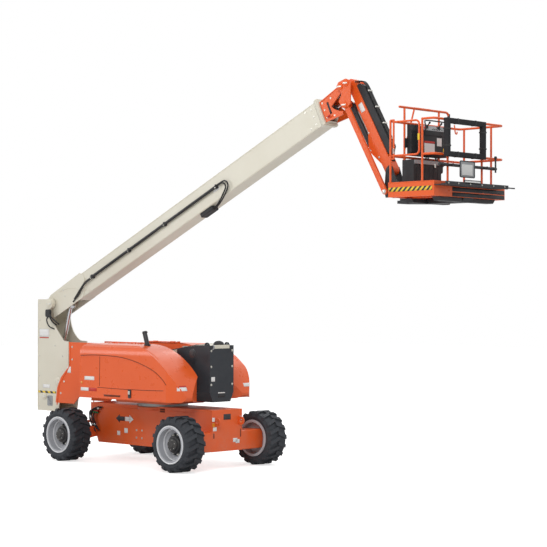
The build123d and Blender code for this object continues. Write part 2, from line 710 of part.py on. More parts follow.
with BuildPart() as hood_top:
    hood_form(-1, 0.0, HOOD_Z[0], 0.0)
stack_dir = (-0.33, 0, 1)
with BuildPart() as exhaust_stack:
    with BuildSketch(level(HOOD_Z[1] - 40)):
        with Locations((STACK_X, STACK_Y)):
            Circle(STACK_R + 18)
    extrude(amount=50)
    with BuildSketch(Plane(origin=(SLEW_X + STACK_X, STACK_Y, HOOD_Z[1]), z_dir=stack_dir)):
        Circle(STACK_R)
    extrude(amount=STACK_H)
    with BuildSketch(Plane(origin=(SLEW_X + STACK_X, STACK_Y, HOOD_Z[1]), z_dir=stack_dir)) as flue:
        Circle(STACK_R - 4)
    extrude(flue.sketch, amount=STACK_H + 20, mode=Mode.SUBTRACT)
    add(hood_top.part, mode=Mode.SUBTRACT)
save(exhaust_stack, "exhaust_stack")

# ---------------------------------------------------------------- tower boom and upright

tower_angle = line_angle(TOWER_X, TOWER_Z, UPRIGHT_X, UPRIGHT_Z)
tower_length = hypot(UPRIGHT_X - TOWER_X, UPRIGHT_Z - TOWER_Z)
tower_mouth = tower_length - TOWER_END_GAP
tower_fly_w = TOWER_W - 2 * TOWER_WALL - TOWER_FLY_GAP
tower_fly_h = TOWER_H - 2 * TOWER_WALL - TOWER_FLY_GAP
tower_plane = tilted(TOWER_X, TOWER_Z, tower_angle)



def tower_section(s):
    """Plane across the tower boom at distance s from its foot pin."""
    return Plane(origin=tower_plane.origin + tower_plane.x_dir * s, x_dir=(0, 1, 0),
                 z_dir=tower_plane.x_dir)


with BuildPart() as tower_boom:
    with BuildSketch(tower_plane):
        Circle(TOWER_H / 2 - 10)
        with Locations((tower_mouth / 2, 0)):
            Rectangle(tower_mouth, TOWER_H)
    extrude(amount=TOWER_W / 2, both=True)
    with BuildSketch(tower_plane):
        with Locations(((tower_mouth + 220) / 2 + 10, 0)):
            Rectangle(tower_mouth - 220 + 20, TOWER_H - 2 * TOWER_WALL)
    extrude(amount=TOWER_W / 2 - TOWER_WALL, both=True, mode=Mode.SUBTRACT)
    # foot boss and pin
    with BuildSketch(tower_plane):
        Circle(TOWER_PIN_R + 35)
    extrude(amount=bracket_y - SIDE_PLATE / 2 - SEAT, both=True)
    with BuildSketch(tower_plane):
        Circle(TOWER_PIN_R)
    extrude(amount=bracket_y + SIDE_PLATE / 2, both=True)
    # wear pads round the mouth, close on the fly section
    with BuildSketch(tower_section(tower_mouth - 90)):
        Rectangle(TOWER_W, TOWER_H)
        Rectangle(tower_fly_w + 2 * SEAT, tower_fly_h + 2 * SEAT, mode=Mode.SUBTRACT)
    extrude(amount=90)
    # lugs for the tower cylinder's rod
    for y in (-64.0, 64.0):
        with BuildSketch(tilted(TOWER_X, TOWER_Z, tower_angle, y)):
            with Locations((TOWER_CYL_S, TOWER_CYL_OFF)):
                Circle(55)
            with Locations((TOWER_CYL_S, TOWER_CYL_OFF / 2 + TOWER_H / 4)):
                Rectangle(150, TOWER_CYL_OFF - TOWER_H / 2)
        extrude(amount=10, both=True)
save(tower_boom, "tower_boom")

with BuildPart() as tower_fly:
    with BuildSketch(tower_plane):
        with Locations(((TOWER_FLY_TAIL + tower_length - 180) / 2, 0)):
            Rectangle(tower_length - 180 - TOWER_FLY_TAIL, tower_fly_h)
    extrude(amount=tower_fly_w / 2, both=True)
    with BuildSketch(tower_plane):
        with Locations(((TOWER_FLY_TAIL + tower_length - 400) / 2, 0)):
            Rectangle(tower_length - 400 - TOWER_FLY_TAIL + 20, tower_fly_h - 2 * TOWER_WALL)
    extrude(amount=tower_fly_w / 2 - TOWER_WALL, both=True, mode=Mode.SUBTRACT)
    # wear pads at the tail, close in the base section
    with BuildSketch(tower_section(TOWER_FLY_TAIL)):
        Rectangle(TOWER_W - 2 * TOWER_WALL - 2 * SEAT, TOWER_H - 2 * TOWER_WALL - 2 * SEAT)
        Rectangle(tower_fly_w - 2 * TOWER_WALL, tower_fly_h - 2 * TOWER_WALL, mode=Mode.SUBTRACT)
    extrude(amount=60)
    with BuildSketch(tower_plane):
        with Locations((tower_length, 0)):
            Circle(TOWER_PIN_R + 55)
        with Locations((tower_length - 110, 0)):
            Rectangle(220, 2 * TOWER_PIN_R + 110)
    extrude(amount=tower_fly_w / 2, both=True)
    with BuildSketch(tower_plane):
        with Locations((tower_length, 0)):
            Circle(TOWER_PIN_R + 30)
    extrude(amount=UPRIGHT_HALF_W - UPRIGHT_PLATE - SEAT, both=True)
    with BuildSketch(tower_plane):
        with Locations((tower_length, 0)):
            Circle(TOWER_PIN_R)
    extrude(amount=UPRIGHT_HALF_W + 14, both=True)
save(tower_fly, "tower_fly")


def barrel_tube(plane, eye_r, eye_half, eye_bore, start, length, radius, rod_r):
    """Cylinder barrel along the plane's local x, with its eye at the origin."""
    bottom = Plane(origin=plane.origin + plane.x_dir * start, z_dir=plane.x_dir)
    hollow = Plane(origin=plane.origin + plane.x_dir * (start + 25), z_dir=plane.x_dir)
    with BuildSketch(plane) as eye:
        Circle(eye_r)
        with Locations((start / 2 + 10, 0)):
            Rectangle(start + 20, 1.6 * eye_r)
    extrude(eye.sketch, amount=eye_half, both=True)
    with BuildSketch(bottom) as tube_section:
        Circle(radius)
    extrude(tube_section.sketch, amount=length - start)
    with BuildSketch(hollow) as inside:
        Circle(rod_r + SEAT)
    extrude(inside.sketch, amount=length - start, mode=Mode.SUBTRACT)
    with BuildSketch(plane) as eye_hole:
        Circle(eye_bore)
    extrude(eye_hole.sketch, amount=eye_half + 1, both=True, mode=Mode.SUBTRACT)


def rod_shaft(plane, tail, reach, rod_r, eye_r, eye_half, pin_half):
    """Cylinder rod along the plane's local x, ending in its eye and pin at distance reach."""
    with BuildSketch(Plane(origin=plane.origin + plane.x_dir * tail, z_dir=plane.x_dir)) as shaft:
        Circle(rod_r)
    extrude(shaft.sketch, amount=reach - tail)
    with BuildSketch(plane) as eye:
        with Locations((reach, 0)):
            Circle(eye_r)
    extrude(eye.sketch, amount=eye_half, both=True)
    with BuildSketch(plane) as eye_pin:
        with Locations((reach, 0)):
            Circle(eye_r * 0.5)
    extrude(eye_pin.sketch, amount=pin_half, both=True)


tower_eye_x = TOWER_X + TOWER_CYL_S * cos(radians(tower_angle)) - TOWER_CYL_OFF * sin(radians(tower_angle))
tower_eye_z = TOWER_Z + TOWER_CYL_S * sin(radians(tower_angle)) + TOWER_CYL_OFF * cos(radians(tower_angle))
tower_cyl_angle = line_angle(TOWER_CYL_X, TOWER_CYL_Z, tower_eye_x, tower_eye_z)
tower_cyl_reach = hypot(tower_eye_x - TOWER_CYL_X, tower_eye_z - TOWER_CYL_Z)
tower_cyl_plane = tilted(TOWER_CYL_X, TOWER_CYL_Z, tower_cyl_angle)

with BuildPart() as tower_lift_barrel:
    barrel_tube(tower_cyl_plane, 62, 60, TOWER_CYL_PIN_R + SEAT, 70, tower_cyl_reach - 170, 65, 38)
save(tower_lift_barrel, "tower_lift_barrel")
with BuildPart() as tower_lift_rod:
    rod_shaft(tower_cyl_plane, 105, tower_cyl_reach, 38, 48, 45, 50)
save(tower_lift_rod, "tower_lift_rod")

upright_common = [
    (UPRIGHT_BACK, UPRIGHT_TOP),
    (UPRIGHT_BACK, UPRIGHT_BOTTOM),
    (UPRIGHT_X + 5, UPRIGHT_BOTTOM),
    (UPRIGHT_X + 90, UPRIGHT_Z - 110),
    (UPRIGHT_FRONT, UPRIGHT_Z + 269),
    (UPRIGHT_FRONT, UPRIGHT_SHOULDER),
]
with BuildPart() as upright:
    # right plate: straight diagonal; left plate: the same edge drawn in a hollow curve
    with BuildSketch(side(-UPRIGHT_HALF_W + UPRIGHT_PLATE)):
        Polygon(
            *upright_common, (UPRIGHT_FRONT - 150, UPRIGHT_SHOULDER + 14), (BOOM_X + 30, UPRIGHT_SHOULDER + 450),
            (BOOM_X + 30, UPRIGHT_TOP), align=None,
        )
    extrude(amount=UPRIGHT_PLATE)
    with BuildSketch(side(UPRIGHT_HALF_W)):
        with BuildLine():
            Polyline(*upright_common)
            Line((UPRIGHT_FRONT, UPRIGHT_SHOULDER), (UPRIGHT_FRONT - 195, UPRIGHT_SHOULDER + 10))
            ThreePointArc(
                (UPRIGHT_FRONT - 195, UPRIGHT_SHOULDER + 10), (BOOM_X + 160, UPRIGHT_SHOULDER + 220),
                (BOOM_X + 80, UPRIGHT_SHOULDER + 510),
            )
            Polyline(
                (BOOM_X + 80, UPRIGHT_SHOULDER + 510), (BOOM_X + 80, UPRIGHT_TOP), (UPRIGHT_BACK, UPRIGHT_TOP),
            )
        make_face()
    extrude(amount=UPRIGHT_PLATE)
    # back plate, foot plate and the tie above the main lift cylinder's base
    with BuildSketch(across(UPRIGHT_BACK)):
        with Locations((0, (UPRIGHT_TOP + UPRIGHT_BOTTOM) / 2)):
            Rectangle(2 * UPRIGHT_HALF_W, UPRIGHT_TOP - UPRIGHT_BOTTOM)
    extrude(amount=UPRIGHT_PLATE)
    with BuildSketch(level(UPRIGHT_BOTTOM)):
        with Locations(((UPRIGHT_BACK + UPRIGHT_X - 50) / 2, 0)):
            Rectangle(UPRIGHT_X - 50 - UPRIGHT_BACK, 2 * UPRIGHT_HALF_W)
    extrude(amount=UPRIGHT_PLATE)
    pin(LIFT_BASE_X, LIFT_BASE_Z, LIFT_PIN_R, UPRIGHT_HALF_W)
    with BuildSketch(side()):
        with Locations((BOOM_X, BOOM_Z)):
            Circle(BOOM_PIN_R + 65)
    extrude(amount=UPRIGHT_HALF_W + 10, both=True)
    with BuildSketch(side()):
        with Locations((BOOM_X, BOOM_Z)):
            Circle(BOOM_PIN_R + 70)
    extrude(amount=BOOM_W / 2 + 24 + SEAT, both=True, mode=Mode.SUBTRACT)
    bore(BOOM_X, BOOM_Z, BOOM_PIN_R + SEAT, UPRIGHT_HALF_W + 11)
    bore(UPRIGHT_X, UPRIGHT_Z, TOWER_PIN_R + SEAT, UPRIGHT_HALF_W + 1)
save(upright, "upright")

# ---------------------------------------------------------------- main boom

boom_plane = tilted(BOOM_X, BOOM_Z, BOOM_ANGLE)


def boom_coords(x, z):
    """Distance along the main boom, and off its line, of a point at rest."""
    lean = radians(BOOM_ANGLE)
    dx = x - BOOM_X
    dz = z - BOOM_Z
    return dx * cos(lean) + dz * sin(lean), dz * cos(lean) - dx * sin(lean)


lift_eye_s, lift_eye_off = boom_coords(LIFT_EYE_X, LIFT_EYE_Z)


def along_boom(y):
    """Side plane on the main boom's pin, local x along the boom."""
    return tilted(BOOM_X, BOOM_Z, BOOM_ANGLE, y)


with BuildPart() as main_boom:
    with BuildSketch(boom_plane):
        with Locations(((BOOM_LENGTH - BOOM_TAIL) / 2, (BOOM_TOP + BOOM_BOTTOM) / 2)):
            Rectangle(BOOM_LENGTH + BOOM_TAIL, BOOM_TOP - BOOM_BOTTOM)
    extrude(amount=BOOM_W / 2, both=True)
    with BuildSketch(boom_plane):
        with Locations((BOOM_LENGTH / 2, (BOOM_TOP + BOOM_BOTTOM) / 2)):
            Rectangle(BOOM_LENGTH + 2 * BOOM_TAIL + 10, BOOM_TOP - BOOM_BOTTOM - 2 * BOOM_WALL)
    extrude(amount=BOOM_W / 2 - BOOM_WALL, both=True, mode=Mode.SUBTRACT)
    # the underside is open round the lift cylinder's rod
    with BuildSketch(boom_plane):
        with Locations((330, BOOM_BOTTOM)):
            Rectangle(860, 2 * BOOM_WALL + 2)
    extrude(amount=BOOM_W / 2 - BOOM_WALL, both=True, mode=Mode.SUBTRACT)
    # collar round the mouth
    mouth = Plane(origin=boom_plane.origin + boom_plane.x_dir * BOOM_LENGTH, x_dir=(0, 1, 0),
                  z_dir=boom_plane.x_dir)
    with BuildSketch(mouth):
        with Locations((0, (BOOM_TOP + BOOM_BOTTOM) / 2)):
            Rectangle(BOOM_W + 2 * COLLAR_LIP, BOOM_TOP - BOOM_BOTTOM + 2 * COLLAR_LIP)
        with Locations((0, (FLY_TOP + FLY_BOTTOM) / 2)):
            Rectangle(FLY_W + 2 * SEAT, FLY_TOP - FLY_BOTTOM + 2 * SEAT, mode=Mode.SUBTRACT)
    extrude(amount=COLLAR)
    # doubler plates at the foot, with their bosses
    for end in (-1, 1):
        with BuildSketch(along_boom(end * (BOOM_W / 2))):
            Polygon(
                (-BOOM_TAIL, BOOM_TOP - 20), (20, BOOM_TOP + 14), (1000, BOOM_TOP + 32), (1085, 110),
                (1085, -60), (900, BOOM_BOTTOM), (-BOOM_TAIL, BOOM_BOTTOM), align=None,
            )
        extrude(amount=-end * 12)
        with BuildSketch(along_boom(end * (BOOM_W / 2))):
            Circle(BOOM_PIN_R + 40)
            with Locations((1040, 26)):
                Circle(48)
        extrude(amount=-end * 24)
    with BuildSketch(boom_plane):
        Circle(BOOM_PIN_R)
    extrude(amount=UPRIGHT_HALF_W + 18, both=True)
    # lugs for the lift cylinder's rod, hung from the top plate
    for y in (-76.0, 76.0):
        with BuildSketch(along_boom(y)):
            Polygon(
                (150, BOOM_TOP - BOOM_WALL), (520, BOOM_TOP - BOOM_WALL), (lift_eye_s + 60, lift_eye_off - 20),
                (lift_eye_s, lift_eye_off - 58), (lift_eye_s - 60, lift_eye_off - 20), align=None,
            )
        extrude(amount=10, both=True)
save(main_boom, "main_boom")

tube_run = along_boom(-BOOM_W / 2 - 42)
with BuildPart() as boom_hose_tube:
    with BuildSketch(Plane(origin=tube_run.origin + tube_run.x_dir * 1310 - tube_run.y_dir * 45,
                           z_dir=tube_run.x_dir)):
        Circle(26)
    extrude(amount=3800)
    for s in (1330, 2480, 3570, 5060):
        with BuildSketch(Plane(origin=tube_run.origin + tube_run.x_dir * s - tube_run.y_dir * 45,
                               x_dir=(0, 1, 0), z_dir=tube_run.x_dir)):
            with Locations((8, 0)):
                Rectangle(68, 70)
        extrude(amount=40)
save(boom_hose_tube, "boom_hose_tube")

with BuildPart() as main_fly:
    with BuildSketch(boom_plane):
        with Locations(((FLY_TAIL + FLY_END) / 2, (FLY_TOP + FLY_BOTTOM) / 2)):
            Rectangle(FLY_END - FLY_TAIL, FLY_TOP - FLY_BOTTOM)
    extrude(amount=FLY_W / 2, both=True)
    with BuildSketch(boom_plane):
        with Locations(((FLY_TAIL + FLY_END) / 2, (FLY_TOP + FLY_BOTTOM) / 2)):
            Rectangle(FLY_END - FLY_TAIL + 20, FLY_TOP - FLY_BOTTOM - 2 * FLY_WALL)
    extrude(amount=FLY_W / 2 - FLY_WALL, both=True, mode=Mode.SUBTRACT)
    # wear pads at the tail, close in the base section
    tail = Plane(origin=boom_plane.origin + boom_plane.x_dir * FLY_TAIL, x_dir=(0, 1, 0),
                 z_dir=boom_plane.x_dir)
    with BuildSketch(tail):
        with Locations((0, (BOOM_TOP + BOOM_BOTTOM) / 2)):
            Rectangle(BOOM_W - 2 * BOOM_WALL - 2 * SEAT, BOOM_TOP - BOOM_BOTTOM - 2 * BOOM_WALL - 2 * SEAT)
        with Locations((0, (FLY_TOP + FLY_BOTTOM) / 2)):
            Rectangle(FLY_W - 2 * FLY_WALL, FLY_TOP - FLY_BOTTOM - 2 * FLY_WALL, mode=Mode.SUBTRACT)
    extrude(amount=60)
    # lower front corner cut away for the jib cylinder
    with BuildSketch(boom_plane):
        Polygon(
            (FLY_END - FLY_CORNER - 10, FLY_BOTTOM - 10), (FLY_END + 10, FLY_BOTTOM + FLY_CORNER + 10),
            (FLY_END + 10, FLY_BOTTOM - 10), align=None,
        )
    extrude(amount=FLY_W / 2 + 1, both=True, mode=Mode.SUBTRACT)
    # top plate between the nose plates
    with BuildSketch(boom_plane):
        with Locations(((FLY_END + NOSE_TOP_END) / 2, FLY_TOP - 6)):
            Rectangle(NOSE_TOP_END - FLY_END + 20, 12)
    extrude(amount=FLY_W / 2, both=True)
    # pin for the levelling cylinder's base
    with BuildSketch(boom_plane):
        with Locations((LEVEL_BASE_S, LEVEL_OFF)):
            Circle(LEVEL_PIN_R)
    extrude(amount=FLY_W / 2, both=True)
save(main_fly, "main_fly")

with BuildPart() as fly_nose:
    nose_y = FLY_W / 2 + NOSE_PLATE
    # room for the jib's link pin, which swings round the levelling pin
    swing = (
        (HEAD_S - 363, HEAD_OFF - 169),
        (HEAD_S + 400 * cos(radians(226)), HEAD_OFF + 400 * sin(radians(226))),
        (HEAD_S - 163, HEAD_OFF - 365),
    )
    for end in (-1, 1):
        with BuildSketch(along_boom(end * (FLY_W / 2 + NOSE_PLATE / 2))):
            with BuildLine():
                Polyline(
                    (HEAD_S - 60, HEAD_OFF + 62), (NOSE_START, FLY_TOP + 8), (NOSE_START, FLY_BOTTOM),
                    (HEAD_S - 235, HEAD_OFF - 413), (HEAD_S - 184, HEAD_OFF - 416), swing[2],
                )
                ThreePointArc(swing[2], swing[1], swing[0])
                Polyline(swing[0], (HEAD_S - 165, HEAD_OFF - 95), (HEAD_S + 20, HEAD_OFF - 40),
                         (HEAD_S - 60, HEAD_OFF + 62))
            make_face()
            with Locations((HEAD_S, HEAD_OFF)):
                Circle(66)
        extrude(amount=NOSE_PLATE / 2, both=True)
        # spacer out to the head's plate
        with BuildSketch(along_boom(end * nose_y)):
            with Locations((HEAD_S, HEAD_OFF)):
                Circle(JIB_PIN_R + 22)
        extrude(amount=-end * (HEAD_HALF_W - HEAD_PLATE - SEAT - nose_y))
    with BuildSketch(boom_plane):
        with Locations((HEAD_S, HEAD_OFF)):
            Circle(JIB_PIN_R + SEAT)
    extrude(amount=HEAD_HALF_W, both=True, mode=Mode.SUBTRACT)
save(fly_nose, "fly_nose")

lift_angle = line_angle(LIFT_BASE_X, LIFT_BASE_Z, LIFT_EYE_X, LIFT_EYE_Z)
lift_reach = hypot(LIFT_EYE_X - LIFT_BASE_X, LIFT_EYE_Z - LIFT_BASE_Z)
lift_plane = tilted(LIFT_BASE_X, LIFT_BASE_Z, lift_angle)
with BuildPart() as main_lift_barrel:
    barrel_tube(lift_plane, 80, 70, LIFT_PIN_R + SEAT, 90, lift_reach - 760, LIFT_BARREL_R, LIFT_ROD_R)
save(main_lift_barrel, "main_lift_barrel")
with BuildPart() as main_lift_rod:
    rod_shaft(lift_plane, 300, lift_reach, LIFT_ROD_R, 52, 50, 60)
save(main_lift_rod, "main_lift_rod")

# ---------------------------------------------------------------- boom head and jib

level_plane = Plane(origin=boom_plane.origin + boom_plane.x_dir * LEVEL_BASE_S + boom_plane.y_dir * LEVEL_OFF,
                    x_dir=boom_plane.x_dir, z_dir=boom_plane.z_dir)
level_eye = level_plane.origin + level_plane.x_dir * LEVEL_REACH
level_eye_x = level_eye.X - SLEW_X
level_eye_z = level_eye.Z

with BuildPart() as jib_head:
    for end in (-1, 1):
        with BuildSketch(side(end * (HEAD_HALF_W - HEAD_PLATE / 2))):
            Polygon(
                (HEAD_PIN_X - 80, HEAD_PIN_Z + 10), (HEAD_PIN_X - 40, HEAD_PIN_Z + 75),
                (ARM_X - 10, ARM_Z + 76), (ARM_X + 60, ARM_Z + 50), (ARM_X + 102, ARM_Z - 20),
                (LINK_X + 132, LINK_Z + 20), (LINK_X + 60, LINK_Z - 50), (LINK_X - 50, LINK_Z - 40),
                (LINK_X - 130, LINK_Z + 60), (LINK_X - 60, LINK_Z + 190), align=None,
            )
        extrude(amount=HEAD_PLATE / 2, both=True)
        # lugs on the link pin for the levelling cylinder's rod
        with BuildSketch(side(end * 52)):
            with Locations((LINK_X, LINK_Z), (level_eye_x, level_eye_z)):
                Circle(38)
            Polygon(
                (LINK_X + 22, LINK_Z + 31), (LINK_X - 22, LINK_Z - 31),
                (level_eye_x - 22, level_eye_z - 31), (level_eye_x + 22, level_eye_z + 31), align=None,
            )
        extrude(amount=6, both=True)
    pin(HEAD_PIN_X, HEAD_PIN_Z, JIB_PIN_R, HEAD_HALF_W)
    pin(ARM_X, ARM_Z, JIB_PIN_R, HEAD_HALF_W)
    pin(LINK_X, LINK_Z, JIB_PIN_R, HEAD_HALF_W)
save(jib_head, "jib_head")

with BuildPart() as level_barrel:
    barrel_tube(level_plane, 40, 40, LEVEL_PIN_R + SEAT, 45, 470, 42, 22)
save(level_barrel, "level_barrel")
with BuildPart() as level_rod:
    rod_shaft(level_plane, 190, LEVEL_REACH, 22, 30, 25, 30)
save(level_rod, "level_rod")

arm_angle = line_angle(ARM_X, ARM_Z, ARM_END_X, ARM_END_Z)
arm_length = hypot(ARM_END_X - ARM_X, ARM_END_Z - ARM_Z)
arm_plane = tilted(ARM_X, ARM_Z, arm_angle)
with BuildPart() as jib_arm:
    with BuildSketch(arm_plane):
        with Locations((arm_length / 2, 0)):
            Rectangle(arm_length, ARM_H)
        with Locations((0, 0), (arm_length, 0)):
            Circle(ARM_H / 2)
    extrude(amount=ARM_W / 2, both=True)
    with BuildSketch(arm_plane):
        with Locations((arm_length / 2, 0)):
            Rectangle(arm_length - 240, ARM_H - 16)
    extrude(amount=ARM_W / 2 - 8, both=True, mode=Mode.SUBTRACT)
    # gusset plates that carry the jib cylinder's rod
    for y in (-ARM_W / 2 + 6, ARM_W / 2 - 6):
        with BuildSketch(tilted(ARM_X, ARM_Z, arm_angle, y)):
            Polygon(
                (JIB_CYL_EYE_S - 330, -ARM_H / 2 + 10), (arm_length - 90, -ARM_H / 2 + 10),
                (JIB_CYL_EYE_S + 50, JIB_CYL_EYE_OFF - 10), (JIB_CYL_EYE_S, JIB_CYL_EYE_OFF - 42),
                (JIB_CYL_EYE_S - 45, JIB_CYL_EYE_OFF - 15), align=None,
            )
        extrude(amount=6, both=True)
    # bosses out to the head's and the support's plates
    with BuildSketch(arm_plane):
        with Locations((0, 0)):
            Circle(JIB_PIN_R + 18)
    extrude(amount=HEAD_HALF_W - HEAD_PLATE - SEAT, both=True)
    with BuildSketch(arm_plane):
        with Locations((0, 0), (arm_length, 0)):
            Circle(JIB_PIN_R + SEAT)
    extrude(amount=HEAD_HALF_W, both=True, mode=Mode.SUBTRACT)
save(jib_arm, "jib_arm")

with BuildPart() as jib_hose_guard:
    with BuildSketch(arm_plane):
        Polygon(
            (90, ARM_H / 2), (90, ARM_H / 2 + 60), (190, ARM_H / 2 + GUARD_H),
            (arm_length - 330, ARM_H / 2 + GUARD_H), (arm_length - 260, ARM_H / 2 + 60),
            (arm_length - 260, ARM_H / 2), align=None,
        )
    extrude(amount=GUARD_HALF_W, both=True)
save(jib_hose_guard, "jib_hose_guard")

with BuildPart() as jib_link:
    for end in (-1, 1):
        with BuildSketch(tilted(LINK_X, LINK_Z, arm_angle, end * LINK_Y)):
            with Locations((arm_length / 2, 0)):
                Rectangle(arm_length, LINK_H)
            with Locations((0, 0), (arm_length, 0)):
                Circle(LINK_H / 2)
            with Locations((0, 0), (arm_length, 0)):
                Circle(JIB_PIN_R + SEAT, mode=Mode.SUBTRACT)
        extrude(amount=LINK_T / 2, both=True)
save(jib_link, "jib_link")

jib_eye_x = ARM_X + JIB_CYL_EYE_S * cos(radians(arm_angle)) - JIB_CYL_EYE_OFF * sin(radians(arm_angle))
jib_eye_z = ARM_Z + JIB_CYL_EYE_S * sin(radians(arm_angle)) + JIB_CYL_EYE_OFF * cos(radians(arm_angle))
jib_cyl_angle = line_angle(LINK_X, LINK_Z, jib_eye_x, jib_eye_z)
jib_cyl_reach = hypot(jib_eye_x - LINK_X, jib_eye_z - LINK_Z)
jib_cyl_plane = tilted(LINK_X, LINK_Z, jib_cyl_angle)
with BuildPart() as jib_lift_barrel:
    barrel_tube(jib_cyl_plane, 44, 44, JIB_PIN_R + SEAT, 50, jib_cyl_reach - 100, JIB_BARREL_R, JIB_ROD_R)
save(jib_lift_barrel, "jib_lift_barrel")
with BuildPart() as jib_lift_rod:
    rod_shaft(jib_cyl_plane, 90, jib_cyl_reach, JIB_ROD_R, 34, 34, 50)
save(jib_lift_rod, "jib_lift_rod")

# ---------------------------------------------------------------- platform

link_end_x = ARM_END_X + LINK_X - ARM_X
link_end_z = ARM_END_Z + LINK_Z - ARM_Z
with BuildPart() as platform_support:
    for end in (-1, 1):
        with BuildSketch(side(end * (ARM_W / 2 + 6 + 9))):
            Polygon(
                (ARM_END_X - 70, ARM_END_Z + 20), (ARM_END_X, ARM_END_Z + 75), (ARM_END_X + 60, ARM_END_Z + 50),
                (ROTATOR_X - 150, ROTATOR_Z[1] + 60), (ROTATOR_X - 100, ROTATOR_Z[1] + 20),
                (ROTATOR_X - 100, ROTATOR_Z[0]), (link_end_x - 40, ROTATOR_Z[0]),
                (link_end_x - 70, link_end_z + 10), align=None,
            )
        extrude(amount=9, both=True)
        # pins of the link bars, outside the plates
        with BuildSketch(side(end * (ARM_W / 2 + 6))):
            with Locations((link_end_x, link_end_z)):
                Circle(JIB_PIN_R)
        extrude(amount=-end * (LINK_Y + LINK_T / 2 + 8 - ARM_W / 2 - 6))
    pin(ARM_END_X, ARM_END_Z, JIB_PIN_R, ARM_W / 2 + 24)
    # housing of the platform rotator
    with BuildSketch(level(ROTATOR_Z[0])):
        with Locations((ROTATOR_X, 0)):
            Circle(ROTATOR_R)
        with Locations((ROTATOR_X - 110, 0)):
            Rectangle(60, ARM_W + 48)
    extrude(amount=ROTATOR_Z[1] - ROTATOR_Z[0])
save(platform_support, "platform_support")

frame_bottom = FLOOR_Z - FLOOR_FRAME
with BuildPart() as platform_carrier:
    with BuildSketch(level(frame_bottom)):
        with Locations((ROTATOR_X, 0)):
            Circle(ROTATOR_R - 15)
    extrude(amount=ROTATOR_Z[0] - SEAT - frame_bottom)
    with BuildSketch(side()):
        Polygon(
            (ROTATOR_X - 90, frame_bottom), (DECK_X[1] - 20, frame_bottom), (DECK_X[1] - 60, frame_bottom - 70),
            (DECK_X[0] + 80, frame_bottom - 70), (ROTATOR_X - 90, frame_bottom - 50), align=None,
        )
    extrude(amount=130, both=True)
    # cross members under the floor: x from and to, half width
    for x0, x1, half in ((DECK_X[0] + 10, DECK_X[0] + 150, 520.0), (DECK_X[1] - 190, DECK_X[1] - 50, 730.0)):
        with BuildSketch(across(x0)):
            Polygon(
                (-half, frame_bottom), (half, frame_bottom), (half - 60, frame_bottom - 66),
                (-half + 60, frame_bottom - 66), align=None,
            )
        extrude(amount=x1 - x0)
save(platform_carrier, "platform_carrier")

with BuildPart() as platform_floor:
    centre_x = (DECK_X[0] + DECK_X[1]) / 2
    with BuildSketch(level(frame_bottom)):
        with Locations((centre_x, 0)):
            Rectangle(DECK_DEPTH, 2 * DECK_HALF_W)
            Rectangle(DECK_DEPTH - 100, 2 * DECK_HALF_W - 100, mode=Mode.SUBTRACT)
            Rectangle(DECK_DEPTH, 60)
            with Locations((0, -460), (0, 460)):
                Rectangle(DECK_DEPTH, 50)
    extrude(amount=FLOOR_FRAME - FLOOR_T)
    with BuildSketch(level(FLOOR_Z - FLOOR_T)):
        with Locations((centre_x, 0)):
            Rectangle(DECK_DEPTH, 2 * DECK_HALF_W)
    extrude(amount=FLOOR_T)
    with BuildSketch(level(FLOOR_Z)):
        with Locations((centre_x, 0)):
            Rectangle(DECK_DEPTH, 2 * DECK_HALF_W)
            Rectangle(DECK_DEPTH - 2 * TOE_T, 2 * DECK_HALF_W - 2 * TOE_T, mode=Mode.SUBTRACT)
    extrude(amount=TOE_H)
    # tread panel where people stand
    with BuildSketch(level(FLOOR_Z)):
        with Locations((centre_x + 120, 0)):
            Rectangle(DECK_DEPTH - 380, 2 * DECK_HALF_W - 120)
    extrude(amount=TREAD_T)
save(platform_floor, "platform_floor")

rail_x = (DECK_X[0] + RAIL_R + TOE_T + 1, DECK_X[1] - RAIL_R - TOE_T - 1)
rail_y = DECK_HALF_W - RAIL_R - TOE_T - 1


def tube(start, end, radius=RAIL_R):
    """Round tube from one point to another, each given as x from the slewing axis, y and z."""
    foot = Vector(SLEW_X + start[0], start[1], start[2])
    run = Vector(SLEW_X + end[0], end[1], end[2]) - foot
    with BuildSketch(Plane(origin=foot, z_dir=run)) as section:
        Circle(radius)
    extrude(section.sketch, amount=run.length)


def bent_tube(plane, points, bend, radius, closed=False):
    """Round tube along a line of points in a plane, with its corners bent to one radius."""
    with BuildLine(plane) as path:
        FilletPolyline(*points, radius=bend, close=closed)
    with BuildSketch(Plane(origin=path.line @ 0, z_dir=path.line % 0)) as section:
        Circle(radius)
    sweep(section.sketch, path=path.line)


# feet of the posts: x, y, top
posts = [
    (rail_x[0], -rail_y, TOP_RAIL_Z),
    (GATE_POST_X, -rail_y, TOP_RAIL_Z),
    (rail_x[0] + RAIL_BEND + 40, rail_y, TOP_RAIL_Z),
    (GATE_POST_X, rail_y, TOP_RAIL_Z),
    (rail_x[1], HOOP_Y[0], TOP_RAIL_Z),
    (rail_x[1], HOOP_Y[1], TOP_RAIL_Z),
    (rail_x[0], HOOP_Y[0], HIGH_RAIL_Z),
    (rail_x[0], HOOP_Y[1], HIGH_RAIL_Z),
]
rail_path = [
    (GATE_POST_X, -rail_y),
    (rail_x[1], -rail_y),
    (rail_x[1], rail_y),
    (rail_x[0], rail_y),
    (rail_x[0], -rail_y),
]
hoop_path = [
    (HOOP_Y[0] - 120, HIGH_RAIL_Z),
    (HOOP_Y[1] + 260, HIGH_RAIL_Z),
    (HOOP_Y[1] + 260, HIGH_RAIL_Z - 120),
]
